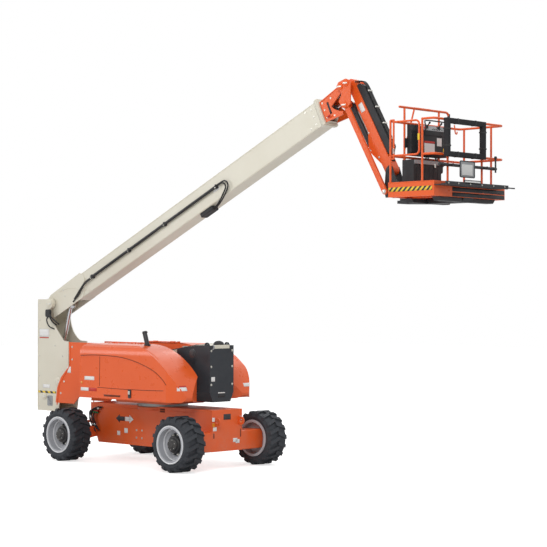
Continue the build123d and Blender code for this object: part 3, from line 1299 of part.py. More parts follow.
with BuildPart() as guardrail:
    for x, y, top in posts:
        tube((x, y, FLOOR_Z), (x, y, top), POST_R)
    for z in (MID_RAIL_Z, TOP_RAIL_Z):
        bent_tube(level(z), rail_path, RAIL_BEND, RAIL_R)
    # hoop over the controls, with its stay
    bent_tube(across(rail_x[0]), hoop_path, 80.0, RAIL_R)
    tube((rail_x[0], HOOP_Y[0] + 250, HIGH_RAIL_Z), (rail_x[0], HOOP_Y[0], MID_RAIL_Z + 110), 14)
    # domed post heads where rails end
    for x, y, z in (
        (rail_x[0], -rail_y, TOP_RAIL_Z), (GATE_POST_X, -rail_y, TOP_RAIL_Z), (rail_x[0], HOOP_Y[0] - 120, HIGH_RAIL_Z),
    ):
        with Locations((SLEW_X + x, y, z)):
            Sphere(RAIL_R)
    # hinge ears of the gate on the rear post
    for z in GATE_EARS:
        with BuildSketch(level(z)):
            with Locations((GATE_HINGE_X, -rail_y)):
                Circle(GATE_R)
            with Locations(((GATE_HINGE_X + rail_x[0]) / 2, -rail_y)):
                Rectangle(GATE_HINGE_X - rail_x[0], 20)
        extrude(amount=GATE_EAR_T)
save(guardrail, "guardrail")

gate_path = [
    (GATE_HINGE_X, GATE_LOW),
    (GATE_END_X, GATE_LOW),
    (GATE_END_X, GATE_HIGH),
    (GATE_HINGE_X, GATE_HIGH),
]
with BuildPart() as gate:
    tube((GATE_HINGE_X, -rail_y, GATE_EARS[0] + GATE_EAR_T + SEAT), (GATE_HINGE_X, -rail_y, GATE_EARS[1] - SEAT), GATE_R)
    bent_tube(side(-rail_y), gate_path, GATE_BEND, GATE_R)
save(gate, "gate")

with BuildPart() as control_console:
    console_x = rail_x[0] + POST_R
    # thin wing beside the open gate, then the full depth: near side, far side, depth
    for near, far, depth in ((-500, -350, 90), (-358, 290, 215)):
        with BuildSketch(side(near)):
            Polygon(
                (console_x, FLOOR_Z + 600), (console_x + depth - 45, FLOOR_Z + 600),
                (console_x + depth, FLOOR_Z + 660), (console_x + depth, FLOOR_Z + 1000),
                (console_x + 0.56 * depth, FLOOR_Z + 1095), (console_x, FLOOR_Z + 1095),
                align=None,
            )
        extrude(amount=near - far)
    # rear plate on the hoop's posts
    with BuildSketch(side(HOOP_Y[0] - RAIL_R)):
        with Locations((console_x + 5, FLOOR_Z + 800)):
            Rectangle(10, 150)
    extrude(amount=HOOP_Y[0] - HOOP_Y[1] - 2 * RAIL_R)
save(control_console, "control_console")

with BuildPart() as tool_box:
    with BuildSketch(level(FLOOR_Z)):
        with Locations((rail_x[0] + RAIL_R + 115, -270)):
            Rectangle(230, 700)
    extrude(amount=525)
save(tool_box, "tool_box")

pad_x = rail_x[1] + RAIL_R + PAD_R + 6
pad_path = [(PAD_Y[0], PAD_Z[0]), (PAD_Y[1], PAD_Z[0]), (PAD_Y[1], PAD_Z[1]), (PAD_Y[0], PAD_Z[1])]
with BuildPart() as padded_frame:
    bent_tube(across(pad_x), pad_path, PAD_BEND, PAD_R, closed=True)
    # saddles on the front rail
    for y in (PAD_Y[0] + 150, PAD_Y[1] - 150):
        with BuildSketch(side(y)):
            with Locations(((rail_x[1] + pad_x) / 2, TOP_RAIL_Z - 10)):
                Rectangle(pad_x - rail_x[1], 44)
            with Locations((rail_x[1], TOP_RAIL_Z)):
                Circle(RAIL_R, mode=Mode.SUBTRACT)
        extrude(amount=25, both=True)
save(padded_frame, "padded_frame")

bar_x = rail_x[1] + RAIL_R + BAR_R + 10
with BuildPart() as panel_tray:
    with BuildSketch(side(TRAY_Y[0])):
        Polygon(
            (DECK_X[1], TRAY_LOW), (DECK_X[1] + TRAY_DEPTH, TRAY_LOW), (DECK_X[1] + TRAY_DEPTH, TRAY_LOW + 55),
            (DECK_X[1] + TRAY_DEPTH - 12, TRAY_LOW + 55), (DECK_X[1] + TRAY_DEPTH - 12, TRAY_LOW + 12),
            (DECK_X[1], TRAY_LOW + 12), align=None,
        )
    extrude(amount=TRAY_Y[0] - TRAY_Y[1])
    # clamp bar on the front posts, with its handle
    tube((bar_x, BAR_Y[0], BAR_Z), (bar_x, BAR_Y[1], BAR_Z), BAR_R)
    tube((bar_x, BAR_Y[1] - 10, BAR_Z - 60), (bar_x, BAR_Y[1] - 10, BAR_Z + 165), 14)
    for y in HOOP_Y:
        with BuildSketch(side(y)):
            with Locations(((rail_x[1] + bar_x) / 2, BAR_Z)):
                Rectangle(bar_x - rail_x[1], 40)
        extrude(amount=30, both=True)
        with BuildSketch(level(BAR_Z - 30)):
            with Locations((rail_x[1], y)):
                Circle(POST_R)
        extrude(amount=60, mode=Mode.SUBTRACT)
save(panel_tray, "panel_tray")
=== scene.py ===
import math

import bmesh
import bpy
import numpy as np
from mathutils import Matrix, Vector


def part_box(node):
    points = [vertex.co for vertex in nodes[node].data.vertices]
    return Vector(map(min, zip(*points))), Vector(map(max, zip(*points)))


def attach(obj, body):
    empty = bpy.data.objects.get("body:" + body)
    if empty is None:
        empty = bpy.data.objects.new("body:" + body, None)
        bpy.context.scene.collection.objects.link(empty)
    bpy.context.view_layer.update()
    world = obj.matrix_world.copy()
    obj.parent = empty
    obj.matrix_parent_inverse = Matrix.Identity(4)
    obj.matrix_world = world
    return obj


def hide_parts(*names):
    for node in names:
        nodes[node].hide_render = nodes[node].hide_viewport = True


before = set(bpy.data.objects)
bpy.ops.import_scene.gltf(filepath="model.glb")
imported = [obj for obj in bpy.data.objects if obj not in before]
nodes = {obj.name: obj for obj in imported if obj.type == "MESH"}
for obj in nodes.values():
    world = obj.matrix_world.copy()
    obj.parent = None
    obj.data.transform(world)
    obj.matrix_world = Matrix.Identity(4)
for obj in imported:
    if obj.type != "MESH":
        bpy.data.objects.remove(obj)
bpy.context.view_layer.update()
scene = bpy.context.scene

# Positions are metres from the slewing axis, which stands at x = SLEW_X, unless a function
# says otherwise; piece() carries them to the frame's own coordinates.
SLEW_X = -1.960
SLEW = np.array([SLEW_X, 0.0, 0.0])


def at(x, y, z):
    """A point given from the slewing axis, in the frame's own coordinates."""
    return np.array([x, y, z], float) + SLEW


# ---------------------------------------------------------------- shader groups

def new_group(name, inputs, outputs):
    """An empty shader node group with the named sockets; returns it with its two end nodes."""
    group = bpy.data.node_groups.new(name, "ShaderNodeTree")
    for label, kind, value in inputs:
        socket = group.interface.new_socket(label, in_out="INPUT", socket_type=kind)
        if value is not None:
            socket.default_value = value
    for label, kind in outputs:
        group.interface.new_socket(label, in_out="OUTPUT", socket_type=kind)
    start = group.nodes.new("NodeGroupInput")
    end = group.nodes.new("NodeGroupOutput")
    return group, start, end


def add_noise(group, vector, scale, detail=3.0, roughness=0.55):
    """A noise texture inside a group, fed with a vector socket."""
    noise = group.nodes.new("ShaderNodeTexNoise")
    group.links.new(vector, noise.inputs["Vector"])
    noise.inputs["Scale"].default_value = scale
    noise.inputs["Detail"].default_value = detail
    noise.inputs["Roughness"].default_value = roughness
    return noise


def ramp(group, value, low, high, ends="From"):
    """Clamped linear step of a value from low to high, or of 0 to 1 carried "To" low to high."""
    node = group.nodes.new("ShaderNodeMapRange")
    node.inputs[ends + " Min"].default_value = low
    node.inputs[ends + " Max"].default_value = high
    group.links.new(value, node.inputs["Value"])
    return node.outputs["Result"]


def arithmetic(group, operation, *operands):
    """A math node; each operand is a socket or a number."""
    node = group.nodes.new("ShaderNodeMath")
    node.operation = operation
    for index, operand in enumerate(operands):
        if isinstance(operand, (int, float)):
            node.inputs[index].default_value = operand
        else:
            group.links.new(operand, node.inputs[index])
    return node.outputs[0]


def make_dust_group():
    """Road dust: thick near the ground, broken up by noise, thinner higher up."""
    group, start, end = new_group(
        "road_dust",
        [("Vector", "NodeSocketVector", None), ("Top", "NodeSocketFloat", 1.2),
         ("Amount", "NodeSocketFloat", 0.5)],
        [("Mask", "NodeSocketFloat"), ("Roughness", "NodeSocketFloat")],
    )
    split = group.nodes.new("ShaderNodeSeparateXYZ")
    group.links.new(start.outputs["Vector"], split.inputs[0])
    height = arithmetic(group, "DIVIDE", split.outputs["Z"], start.outputs["Top"])
    low = ramp(group, height, 1.0, 0.0)
    patches = add_noise(group, start.outputs["Vector"], 3.1, 6.0, 0.62)
    grain = add_noise(group, start.outputs["Vector"], 55.0, 2.0)
    broken = ramp(group, patches.outputs["Fac"], 0.34, 0.72)
    fine = ramp(group, grain.outputs["Fac"], 0.2, 0.8)
    mask = arithmetic(group, "MULTIPLY", arithmetic(group, "MULTIPLY", low, broken), fine)
    mask = arithmetic(group, "MULTIPLY", mask, start.outputs["Amount"])
    group.links.new(mask, end.inputs["Mask"])
    group.links.new(arithmetic(group, "MULTIPLY", mask, 0.5), end.inputs["Roughness"])
    return group


def make_paint_group():
    """Sprayed paint: slow tone drift over a panel, orange-peel height and sun-faded roughness."""
    group, start, end = new_group(
        "sprayed_paint",
        [("Vector", "NodeSocketVector", None), ("Peel", "NodeSocketFloat", 160.0)],
        [("Tone", "NodeSocketFloat"), ("Height", "NodeSocketFloat"), ("Roughness", "NodeSocketFloat")],
    )
    drift = add_noise(group, start.outputs["Vector"], 0.9, 4.0)
    peel = group.nodes.new("ShaderNodeTexNoise")
    group.links.new(start.outputs["Vector"], peel.inputs["Vector"])
    group.links.new(start.outputs["Peel"], peel.inputs["Scale"])
    peel.inputs["Detail"].default_value = 1.0
    smear = add_noise(group, start.outputs["Vector"], 7.0, 5.0)
    group.links.new(ramp(group, drift.outputs["Fac"], 0.3, 0.7), end.inputs["Tone"])
    group.links.new(peel.outputs["Fac"], end.inputs["Height"])
    group.links.new(ramp(group, smear.outputs["Fac"], 0.25, 0.75), end.inputs["Roughness"])
    return group


DUST = make_dust_group()
PAINT = make_paint_group()
DUST_COLOUR = (0.34, 0.29, 0.23)


class Finish:
    """One material being built: a Principled shader fed by the shared groups."""

    def __init__(self, name):
        self.material = bpy.data.materials.new(name)
        self.material.use_nodes = True
        self.tree = self.material.node_tree
        self.shader = self.tree.nodes["Principled BSDF"]
        self.coords = self.tree.nodes.new("ShaderNodeTexCoord").outputs["Object"]

    def node(self, kind, tree=None, **sockets):
        """A shader node with the named sockets set; a group node runs the given tree."""
        made = self.tree.nodes.new(kind)
        if tree is not None:
            made.node_tree = tree
            self.link(self.coords, made.inputs["Vector"])
        for label, value in sockets.items():
            made.inputs[label].default_value = value
        return made

    def group(self, tree, **sockets):
        return self.node("ShaderNodeGroup", tree, **sockets)

    def set(self, **values):
        """Numbers on the shader's own sockets, named with underscores for spaces."""
        for label, value in values.items():
            self.shader.inputs[label.replace("_", " ")].default_value = value

    def link(self, source, target):
        self.tree.links.new(source, target)

    def mix(self, factor, first, second):
        """Colour mix; factor is a socket, each colour a socket or a value."""
        made = self.tree.nodes.new("ShaderNodeMix")
        made.data_type = "RGBA"
        self.link(factor, made.inputs["Factor"])
        for label, colour in (("A", first), ("B", second)):
            socket = [s for s in made.inputs if s.name == label and s.type == "RGBA"][0]
            if isinstance(colour, tuple):
                socket.default_value = (*colour, 1.0)
            else:
                self.link(colour, socket)
        return [s for s in made.outputs if s.type == "RGBA"][0]

    def bump(self, height, strength, distance):
        made = self.node("ShaderNodeBump", Strength=strength, Distance=distance)
        self.link(height, made.inputs["Height"])
        self.link(made.outputs["Normal"], self.shader.inputs["Normal"])

    def surface(self, colour, roughness, smears):
        """Base colour from a socket, roughness from smears between two values."""
        self.link(colour, self.shader.inputs["Base Color"])
        self.link(ramp(self.tree, smears, *roughness, ends="To"), self.shader.inputs["Roughness"])


def paint(name, colour, faded, rough=(0.28, 0.42), dust=0.5, dust_top=1.3, coat=0.1, gloss=0.35):
    """Sprayed machine paint: drifts from colour to faded, with road dust low down."""
    finish = Finish(name)
    sprayed = finish.group(PAINT)
    dusty = finish.group(DUST, Top=dust_top, Amount=dust)
    tone = finish.mix(sprayed.outputs["Tone"], colour, faded)
    finish.surface(finish.mix(dusty.outputs["Mask"], tone, DUST_COLOUR), rough, sprayed.outputs["Roughness"])
    finish.set(Coat_Weight=coat, Coat_Roughness=0.2, Specular_IOR_Level=gloss)
    finish.bump(sprayed.outputs["Height"], 0.06, 0.002)
    return finish.material


def moulded(name, colour, worn, grain=240.0, rough=(0.5, 0.7), depth=0.25):
    """Moulded plastic or rubber: fine grain in the surface, a little paler where it is worn."""
    finish = Finish(name)
    sprayed = finish.group(PAINT, Peel=grain)
    tone = finish.mix(sprayed.outputs["Tone"], colour, worn)
    finish.surface(tone, rough, sprayed.outputs["Roughness"])
    finish.set(Specular_IOR_Level=0.3)
    finish.bump(sprayed.outputs["Height"], depth, 0.002)
    return finish.material


def metal(name, colour, streaked, rough=(0.1, 0.25)):
    """Bare or plated metal with faint smears."""
    finish = Finish(name)
    sprayed = finish.group(PAINT, Peel=60.0)
    tone = finish.mix(sprayed.outputs["Tone"], colour, streaked)
    finish.surface(tone, rough, sprayed.outputs["Roughness"])
    finish.set(Metallic=1.0)
    return finish.material


def striped(name, first, second, direction, pitch):
    """Hard-edged painted stripes across a direction, with worn paint over them."""
    finish = Finish(name)
    across = finish.node("ShaderNodeVectorMath")
    across.operation = "DOT_PRODUCT"
    finish.link(finish.coords, across.inputs[0])
    across.inputs[1].default_value = tuple(value / pitch for value in direction)
    phase = arithmetic(finish.tree, "FRACT", across.outputs["Value"])
    step = arithmetic(finish.tree, "GREATER_THAN", phase, 0.5)
    sprayed = finish.group(PAINT)
    worn = finish.mix(sprayed.outputs["Tone"], first, tuple(0.86 * value for value in first))
    finish.surface(finish.mix(step, worn, second), (0.35, 0.55), sprayed.outputs["Roughness"])
    finish.bump(sprayed.outputs["Height"], 0.05, 0.001)
    return finish.material


def lens(name, colour):
    """Clear-coated reflector or lamp lens with a fine prism pattern under it."""
    finish = Finish(name)
    cells = finish.node("ShaderNodeTexVoronoi", Scale=260.0)
    finish.link(finish.coords, cells.inputs["Vector"])
    dark = tuple(0.6 * value for value in colour)
    finish.link(finish.mix(cells.outputs["Distance"], colour, dark), finish.shader.inputs["Base Color"])
    finish.set(Roughness=0.18, Coat_Weight=0.8)
    finish.bump(cells.outputs["Distance"], 0.2, 0.001)
    return finish.material


ORANGE = (0.72, 0.098, 0.013)
ORANGE_FADED = (0.76, 0.112, 0.018)
CREAM = (0.64, 0.605, 0.50)
CREAM_FADED = (0.69, 0.66, 0.56)
BLACK = (0.017, 0.018, 0.021)
BLACK_WORN = (0.034, 0.035, 0.039)
YELLOW = (0.80, 0.55, 0.03)

FINISHES = {
    "orange": paint("orange_machine_paint", ORANGE, ORANGE_FADED),
    "shell": paint("orange_moulded_shell", ORANGE, ORANGE_FADED, rough=(0.24, 0.36), dust=0.3, coat=0.25),
    "cream": paint("cream_machine_paint", CREAM, CREAM_FADED, dust=0.2),
    "black": paint("black_frame_paint", BLACK, BLACK_WORN, rough=(0.4, 0.6), dust=0.35, coat=0.0),
    "weight": paint("dark_cast_paint", (0.020, 0.023, 0.029), (0.034, 0.038, 0.045),
                    rough=(0.45, 0.65), dust=0.2, coat=0.0),
    # painted shade: dark red-brown standing in for the shade in gaps, creases, recesses and notches
    "joint_shade": paint("shadowed_joint", (0.10, 0.020, 0.008), (0.14, 0.03, 0.012),
                  rough=(0.6, 0.8), coat=0.0),
    "silver": paint("silver_rim_paint", (0.36, 0.37, 0.40), (0.46, 0.47, 0.50), rough=(0.3, 0.45),
                    dust=0.3, dust_top=0.8),
    # painted highlight: the rim's edges painted lighter than the rim's own silver
    "rim_highlight": paint("painted_rim_highlight", (0.72, 0.73, 0.75), (0.62, 0.63, 0.65), rough=(0.2, 0.35),
                    dust=0.2, dust_top=0.8),
    "rubber": moulded("tyre_rubber", (0.024, 0.027, 0.033), (0.048, 0.052, 0.060), grain=90.0,
                      rough=(0.6, 0.85), depth=0.4),
    "hose": moulded("hose_rubber", (0.012, 0.012, 0.013), (0.03, 0.03, 0.03), rough=(0.4, 0.6)),
    "foam": moulded("closed_foam_sleeve", (0.014, 0.014, 0.016), (0.026, 0.026, 0.029),
                    grain=420.0, rough=(0.75, 0.95), depth=0.5),
    "plastic": moulded("black_moulding", (0.02, 0.021, 0.023), (0.04, 0.04, 0.043)),
    "grey": moulded("grey_moulding", (0.30, 0.31, 0.32), (0.38, 0.39, 0.40)),
    "white": moulded("white_film", (0.76, 0.76, 0.75), (0.70, 0.70, 0.68),
                     rough=(0.3, 0.45), depth=0.04),
    "red": moulded("red_film", (0.55, 0.03, 0.02), (0.46, 0.03, 0.02),
                   rough=(0.3, 0.45), depth=0.04),
    "green": moulded("green_sleeve", (0.03, 0.22, 0.07), (0.03, 0.16, 0.06), rough=(0.4, 0.6)),
    "yellow": moulded("yellow_moulding", YELLOW, (0.72, 0.48, 0.03), rough=(0.3, 0.5), depth=0.1),
    "amber": lens("amber_lens", (0.85, 0.30, 0.02)),
    "glass": lens("dark_screen", (0.02, 0.03, 0.035)),
    "chrome": metal("chromed_rod", (0.75, 0.76, 0.78), (0.6, 0.61, 0.63)),
    "steel": metal("bare_steel", (0.35, 0.34, 0.33), (0.22, 0.21, 0.2), rough=(0.3, 0.5)),
    "zinc": metal("zinc_plating", (0.62, 0.61, 0.57), (0.5, 0.49, 0.45), rough=(0.25, 0.45)),
    "alloy": metal("cast_alloy", (0.3, 0.3, 0.31), (0.2, 0.2, 0.2), rough=(0.4, 0.6)),
    "hazard_level": striped("hazard_stripes_level", YELLOW, BLACK, (0.7, 0.7, 0.7), 0.11),
    "hazard_edge": striped("hazard_stripes_edge", YELLOW, BLACK, (0.7, 0.0, -0.7), 0.066),
}

NODE_FINISH = {
    "orange": (
        "chassis_frame", "drive_axle", "steer_axle", "turntable_frame", "fly_nose", "jib_head", "jib_arm",
        "jib_link", "platform_floor", "guardrail", "gate",
    ),
    "shell": ("hood_left", "hood_right"),
    "cream": ("main_boom", "main_fly", "upright", "tower_boom", "tower_fly"),
    "black": (
        "knuckle_left", "knuckle_right", "fluid_tanks", "tower_lift_barrel", "main_lift_barrel",
        "level_barrel", "jib_lift_barrel", "platform_support", "platform_carrier", "panel_tray",
        "exhaust_stack",
    ),
    "weight": ("counterweight",),
    "silver": ("rim_drive_left", "rim_drive_right", "rim_steer_left", "rim_steer_right"),
    "rubber": ("tyre_drive_left", "tyre_drive_right", "tyre_steer_left", "tyre_steer_right"),
    "plastic": ("boom_hose_tube", "jib_hose_guard", "control_console", "tool_box"),
    "foam": ("padded_frame",),
    "chrome": ("steer_rod", "tower_lift_rod", "main_lift_rod", "level_rod", "jib_lift_rod"),
    "steel": ("slew_ring",),
    "alloy": ("engine_block",),
}
for finish_name, members in NODE_FINISH.items():
    for node in members:
        mesh = nodes[node].data
        mesh.materials.clear()
        mesh.materials.append(FINISHES[finish_name])


# ---------------------------------------------------------------- surfaces

def unit(vector):
    vector = np.asarray(vector, float)
    return vector / np.linalg.norm(vector)


def smooth_path(points, steps=6):
    """Points on the smooth curve through the given ones.

    Between P1 and P2, with their neighbours P0 and P3, the curve at t from 0 to 1 is half of
    2 P1 + (P2 - P0) t + (2 P0 - 5 P1 + 4 P2 - P3) t^2 + (3 P1 - P0 - 3 P2 + P3) t^3.
    """
    points = np.asarray(points, float)
    held = np.vstack((2 * points[0] - points[1], points, 2 * points[-1] - points[-2]))
    before, start, end, after = held[:-3], held[1:-2], held[2:-1], held[3:]
    t = (np.arange(steps) / steps)[None, :, None]
    before, start, end, after = before[:, None], start[:, None], end[:, None], after[:, None]
    curve = 0.5 * (2 * start + (end - before) * t + (2 * before - 5 * start + 4 * end - after) * t ** 2
                   + (3 * start - before - 3 * end + after) * t ** 3)
    return np.vstack((curve.reshape(-1, 3), points[-1:]))


def rounded_outline(width, height, radius, steps=4):
    """Corner-rounded rectangle about the origin, as an array of 2-D points."""
    radius = min(radius, 0.499 * width, 0.499 * height)
    turn = np.linspace(0.0, math.pi / 2, steps + 1)
    corners = []
    for quarter, (sx, sy) in enumerate(((1, 1), (-1, 1), (-1, -1), (1, -1))):
        angle = turn + quarter * math.pi / 2
        centre = (sx * (width / 2 - radius), sy * (height / 2 - radius))
        corners.append(np.stack((centre[0] + radius * np.cos(angle), centre[1] + radius * np.sin(angle)), 1))
    return np.vstack(corners)


def full_turn(count, start=0.0):
    """Angles spaced evenly round a full turn."""
    return np.arange(count) * 2 * math.pi / count + start


NEAR = ((1, 0, 0), (0, 0, 1))       # face frames: across and up, seen from outside the face
FAR = ((-1, 0, 0), (0, 0, 1))
FRONT = ((0, 1, 0), (0, 0, 1))
TOP = ((1, 0, 0), (0, 1, 0))
FLANKS = (("right", -1, NEAR), ("left", 1, FAR))      # name, sign of y, face frame of each side
AXIS = 0.0001       # radius of the small end that closes a turned profile on its axis


class Shape:
    """Points and faces gathered from several surfaces, for one piece."""

    def __init__(self):
        self.points = np.zeros((0, 3))
        self.faces = []

    def grid(self, points, wrap=False, caps=False):
        """Quads over points[u, v]; wrap joins the last v to the first, caps fill both ends of u."""
        rows, columns = points.shape[:2]
        index = len(self.points) + np.arange(rows * columns).reshape(rows, columns)
        self.points = np.vstack((self.points, points.reshape(-1, 3)))
        left = index if wrap else index[:, :-1]
        right = np.roll(index, -1, axis=1) if wrap else index[:, 1:]
        quads = np.stack((left[:-1], right[:-1], right[1:], left[1:]), axis=-1).reshape(-1, 4)
        self.faces += quads.tolist()
        if caps:
            self.faces += [index[0, ::-1].tolist(), index[-1].tolist()]
        return self

    def tube(self, path, radius, sides=10):
        """Round section of one radius, or one for each point, carried along a path."""
        path = np.asarray(path, float)
        steps = np.gradient(path, axis=0)
        along = steps / np.linalg.norm(steps, axis=1)[:, None]
        first = np.cross(along[0], (0.31, 0.17, 0.93))
        sideways = [unit(first)]
        for direction in along[1:]:
            carried = sideways[-1] - direction * np.dot(sideways[-1], direction)
            sideways.append(unit(carried))
        sideways = np.array(sideways)
        upward = np.cross(along, sideways)
        angle = full_turn(sides)[None, :, None]
        radius = np.broadcast_to(radius, len(path))[:, None, None]
        ring = np.cos(angle) * sideways[:, None] + np.sin(angle) * upward[:, None]
        return self.grid(path[:, None] + radius * ring, wrap=True, caps=True)

    def turned(self, profile, origin, axis, segments=40, caps=True):
        """Profile of (radius, height along the axis) points turned round the axis."""
        axis = unit(axis)
        first = unit(np.cross(axis, (0.31, 0.17, 0.93)))
        second = np.cross(axis, first)
        radius, height = np.asarray(profile, float).T[:, :, None, None]
        angle = full_turn(segments)[:, None]
        ring = np.cos(angle) * first + np.sin(angle) * second
        points = np.asarray(origin, float) + radius * ring[None] + height * axis
        return self.grid(points, wrap=True, caps=caps)

    def ring(self, profile, origin, axis, segments=64):
        """Closed profile of (radius, height) points turned round the axis into a ring."""
        return self.turned(list(profile) + [profile[0]], origin, axis, segments, caps=False)

    def slab(self, face, centre, size, thickness, radius=0.004, bevel=0.0015):
        """Round-cornered plate on a face, which rises to its thickness with a bevelled upper edge."""
        across, upward = np.asarray(face[0], float), np.asarray(face[1], float)
        outward = np.cross(across, upward)
        outline = rounded_outline(*size, radius)
        bevel = min(bevel, 0.45 * thickness)
        span = np.abs(outline).max(axis=0)
        layers = []
        for inset, height in ((0.0, 0.0), (0.0, thickness - bevel), (bevel, thickness)):
            drawn = outline * (1 - inset / span)
            lifted = np.asarray(centre) + height * outward
            layers.append(lifted + drawn[:, :1] * across + drawn[:, 1:] * upward)
        return self.grid(np.array(layers), wrap=True, caps=True)

    def bolt(self, place, outward, radius=0.012, height=0.009):
        """Hexagon head on a round washer."""
        outward = unit(outward)
        washer = [(AXIS, 0.0), (1.45 * radius, 0.0), (1.45 * radius, 0.0022), (AXIS, 0.0022)]
        self.turned(washer, place, outward, 16)
        head = [(AXIS, 0.0), (radius, 0.0), (radius, height - 0.002), (0.86 * radius, height),
                (AXIS, height)]
        return self.turned(head, np.asarray(place, float) + 0.002 * outward, outward, 6)


CREASE = math.radians(32.0)


def piece(name, shape, finish, body, thickness=0.0):
    """One piece of the scene from a gathered shape, riding on a body."""
    mesh = bpy.data.meshes.new(name)
    mesh.from_pydata((shape.points + SLEW).tolist(), [], shape.faces)
    shaped = bmesh.new()
    shaped.from_mesh(mesh)
    bmesh.ops.recalc_face_normals(shaped, faces=shaped.faces)
    shaped.to_mesh(mesh)
    shaped.free()
    mesh.polygons.foreach_set("use_smooth", np.ones(len(mesh.polygons), bool))
    mesh.set_sharp_from_angle(angle=CREASE)
    mesh.materials.append(FINISHES[finish])
    made = bpy.data.objects.new(name, mesh)
    scene.collection.objects.link(made)
    if thickness:
        film = made.modifiers.new("film", "SOLIDIFY")
        film.thickness = thickness
        film.offset = 0.0
    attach(made, body)
    return made


def landing(node, points, toward, lift=0.0):
    """Where lines from the points along a direction meet a CAD node, lifted back off it."""
    toward = unit(toward)
    flat = np.asarray(points, float).reshape(-1, 3)
    landed = np.empty_like(flat)
    for row, start in enumerate(flat):
        hit, place = nodes[node].ray_cast(Vector(start + SLEW), Vector(toward))[:2]
        landed[row] = (np.array(place) - SLEW - lift * toward) if hit else np.nan
    found = ~np.isnan(landed[:, 0])
    if not found.any():
        raise ValueError("nothing of " + node + " lies along those lines")
    nearest = np.array([np.argmin(np.where(found, np.abs(np.arange(len(flat)) - row), 10 ** 6))
                        for row in range(len(flat))])
    depth = (landed - flat) @ toward
    landed = flat + depth[nearest][:, None] * toward
    return landed.reshape(np.shape(points))


OUTSIDE = 1.6       # distance from the middle plane that lies outside every side face


def film(name, node, corners, toward, finish, body, divisions=(8, 3), lift=0.0016):
    """Thin film laid on a CAD node: a bilinear grid between four corners, dropped onto the surface."""
    corners = np.asarray(corners, float)
    u = np.linspace(0, 1, divisions[0] + 1)[:, None, None]
    v = np.linspace(0, 1, divisions[1] + 1)[None, :, None]
    lower = (1 - u) * (1 - v) * corners[0] + u * (1 - v) * corners[1]
    flat = lower + u * v * corners[2] + (1 - u) * v * corners[3]
    return piece(name, Shape().grid(landing(node, flat, toward, lift)), finish, body, thickness=0.002)


def side_film(name, node, x, z, finish, body, side=-1, divisions=(8, 3), lift=0.0016):
    """Rectangular film on a side face of a node, given by its two x and two z."""
    start = side * OUTSIDE
    corners = [(x[0], start, z[0]), (x[1], start, z[0]), (x[1], start, z[1]), (x[0], start, z[1])]
    return film(name, node, corners, (0, -side, 0), finish, body, divisions, lift)


def front_film(name, node, y, z, finish, body, start=9.0, divisions=(6, 3), lift=0.0016):
    """Rectangular film on a face that looks forward, given by its two y and two z."""
    corners = [(start, y[0], z[0]), (start, y[1], z[0]), (start, y[1], z[1]), (start, y[0], z[1])]
    return film(name, node, corners, (-1, 0, 0), finish, body, divisions, lift)


def bead(name, node, waypoints, toward, radius, finish, body, steps=8, lift=0.0):
    """Thin raised or sunk line that follows waypoints dropped onto a CAD node."""
    route = landing(node, smooth_path(waypoints, steps), toward, lift)
    return piece(name, Shape().tube(route, radius, 8), finish, body)


def bolts(name, spots, outward, radius, height, body, finish="zinc"):
    """Bolt heads at the spots, as one piece."""
    heads = Shape()
    for spot in spots:
        heads.bolt(spot, outward, radius, height)
    return piece(name, heads, finish, body)


def lines(name, routes, radius, finish, body, steps=8, sides=10):
    """Smooth round line along each route, as one piece; steps=0 keeps them straight."""
    shape = Shape()
    for route in routes:
        shape.tube(smooth_path(route, steps) if steps else route, radius, sides)
    return piece(name, shape, finish, body)


def plate(name, face, centres, size, thickness, finish, body, **rounding):
    """The same slab at one place or at each of several, as one piece."""
    shape = Shape()
    for centre in np.reshape(np.asarray(centres, float), (-1, 3)):
        shape.slab(face, centre, size, thickness, **rounding)
    return piece(name, shape, finish, body)


def turning(name, profile, places, axis, segments, finish, body):
    """The same turned profile at one place or at each of several, as one piece."""
    shape = Shape()
    for place in np.reshape(np.asarray(places, float), (-1, 3)):
        shape.turned(profile, place, axis, segments)
    return piece(name, shape, finish, body)


def node_box(node):
    """Two opposite corners of a CAD node, from the slewing axis."""
    return (np.array(corner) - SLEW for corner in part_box(node))


# ---------------------------------------------------------------- wheels

AXLE_X = 1.525
AXLE_Z = 0.494


def wheel_spots(count, radius, height, centre, outward, start=0.0):
    """Places on a circle round the wheel's axis, at a height along it."""
    for turn in full_turn(count, start):
        yield centre + radius * np.array([math.cos(turn), 0.0, math.sin(turn)]) + height * outward


